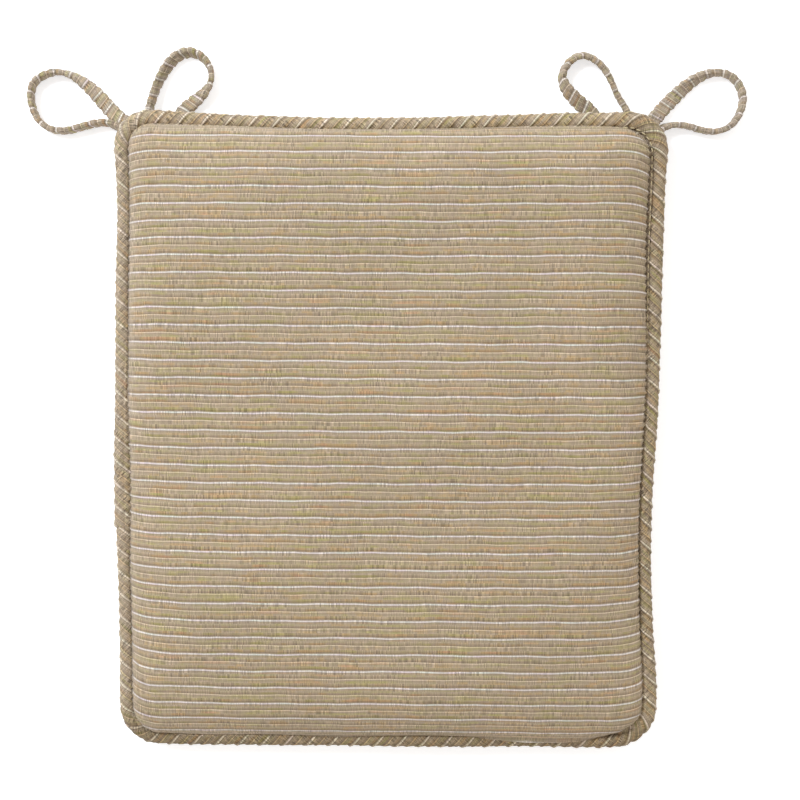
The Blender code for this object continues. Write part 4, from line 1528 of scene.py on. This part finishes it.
# The pull tab in millimetres: place along it from its pivot, half width, how far its panel is
# sunk, and how full the section is at that place
PULL_STATIONS = (
    (0.5, 2.6, 0, 0.5), (0.4, 2.85, 0, 0.8), (0.1, 3.0, 0, 1), (-1.0, 3.0, 0, 1), (-3.0, 3.0, 0, 1),
    (-4.6, 3.0, 0, 1), (-5.6, 2.8, 0, 1), (-6.8, 2.45, 0, 1), (-8.2, 2.3, 0, 1), (-9.6, 2.35, 0, 1),
    (-10.2, 2.4, 0.16, 1), (-13.0, 2.65, 0.16, 1), (-16.0, 2.9, 0.16, 1), (-18.5, 3.0, 0.16, 1),
    (-20.2, 3.0, 0.16, 1), (-20.9, 3.0, 0, 1), (-21.9, 2.86, 0, 1), (-22.7, 2.47, 0, 1),
    (-23.35, 1.87, 0, 1), (-23.75, 1.2, 0, 0.9), (-23.95, 0.55, 0, 0.7), (-24.0, 0.2, 0, 0.5),
)
PULL_HALF_THICKNESS = 0.5
WINDOW_HALF = ((-0.5, 1.2), (-0.65, 1.55), (-1.0, 1.7), (-3.7, 1.7), (-4.05, 1.55), (-4.2, 1.2))


def make_pull(material):
    """A cast tab: a window round the bridge, a waist, and a sunk panel inside a rim."""
    pivot = Vector(zip_joint()["pos_m"])
    uphill, inward = zip_axes()

    def at(along, up, into):
        return pivot + (Vector((along, 0, 0)) + uphill * up + inward * into) * MM

    rings = []
    for along, wide, sunk, full in PULL_STATIONS:
        thick = PULL_HALF_THICKNESS * full
        half = [(0, sunk - thick), (0.66 * wide, sunk - thick), (0.74 * wide, -thick), (0.9 * wide, -thick)]
        half += [(0.975 * wide, -0.7 * thick), (wide, 0)]
        half += [(up, -into) for up, into in reversed(half[:-1])]
        rings.append([at(along, up, into) for up, into in both_sides(half)])
    pull = shell("zip_pull_tab", rings, material)
    hole = [[at(along, up, into) for along, up in mirrored(WINDOW_HALF)] for into in (-2, 2)]
    fuse(pull, "DIFFERENCE", shell("pull_window", hole, material))
    finish_piece(pull, "zip_metal", "zip_pull", body="pull")


ZIP_STITCH_PITCH = 0.003
ZIP_STITCH_INSET = 0.0026


def make_zip_stitches(material):
    """A row of stitches beside each lip, along the slope of the underside."""
    for end, lip, side in (("front", LIP_FRONT, -1), ("rear", LIP_REAR, 1)):
        y = lip + side * ZIP_STITCH_INSET
        places = []
        ups = []
        for step in range(int(2 * MOUTH / ZIP_STITCH_PITCH)):
            x = -MOUTH + ZIP_STITCH_PITCH * (step + 0.5)
            near, far = under_height(inset_of(np.array([x, x]), np.array([y, y + 0.0005])))
            up = Vector((0, (far - near) / 0.0005, -1)).normalized()
            places.append(Vector((x, y, near)) + up * 0.0003)
            ups.append(up)
        ways = [Vector((1, 0, 0))] * len(places)
        length = ZIP_STITCH_PITCH * 0.78
        make_stitches(f"zip_stitches_{end}", places, ways, ups, length, 0.00042, material, "zip_tape")


def make_zip():
    at = zip_frame()
    tape = plain_weave("zip_tape_twill", linear(186, 170, 142), 0.0009)
    coil = nylon("zip_coil_nylon", linear(196, 180, 150))
    nickel = metal("zip_nickel", (0.60, 0.57, 0.52))
    for end, side in (("front", -1), ("rear", 1)):
        make_tape(end, side, at, tape)
        make_coil(end, side, at, coil)
    for end in ("left", "right"):
        make_stop(end, at, nickel)
    make_slider(at, nickel)
    make_pull(nickel)
    make_zip_stitches(thread_material("zip_thread", linear(196, 182, 152)))


def make_cloths():
    """The same stripe as the panels, the welt and the ties show it."""
    panel = striped_cloth("striped_panel_cloth", linear(207, 200, 195), linear(195, 178, 155))
    welt = striped_cloth("striped_bias_cloth", linear(218, 206, 186), linear(186, 166, 134), 0.79, 0.12, 1.6)
    pale, cream = linear(214, 207, 198), linear(192, 177, 156)
    return panel, welt, striped_cloth("striped_tie_cloth", pale, cream, 0.80, 0.10, 1.5, TIE_CAST)


def main():
    make_camera()
    make_light()
    make_floor()
    panel_cloth, welt_cloth, tie_cloth = make_cloths()
    cover = fill_out_cover()
    for number, name in enumerate(TIE_ROUTES):
        make_tie(name, tie_cloth, number)
    make_face(panel_cloth, cover)
    make_underside(panel_cloth, cover)
    make_welt(welt_cloth)
    make_flange(welt_cloth)
    make_ditch_stitches(thread_material("seam_thread", linear(214, 198, 160)))
    make_filling()
    make_zip()


main()
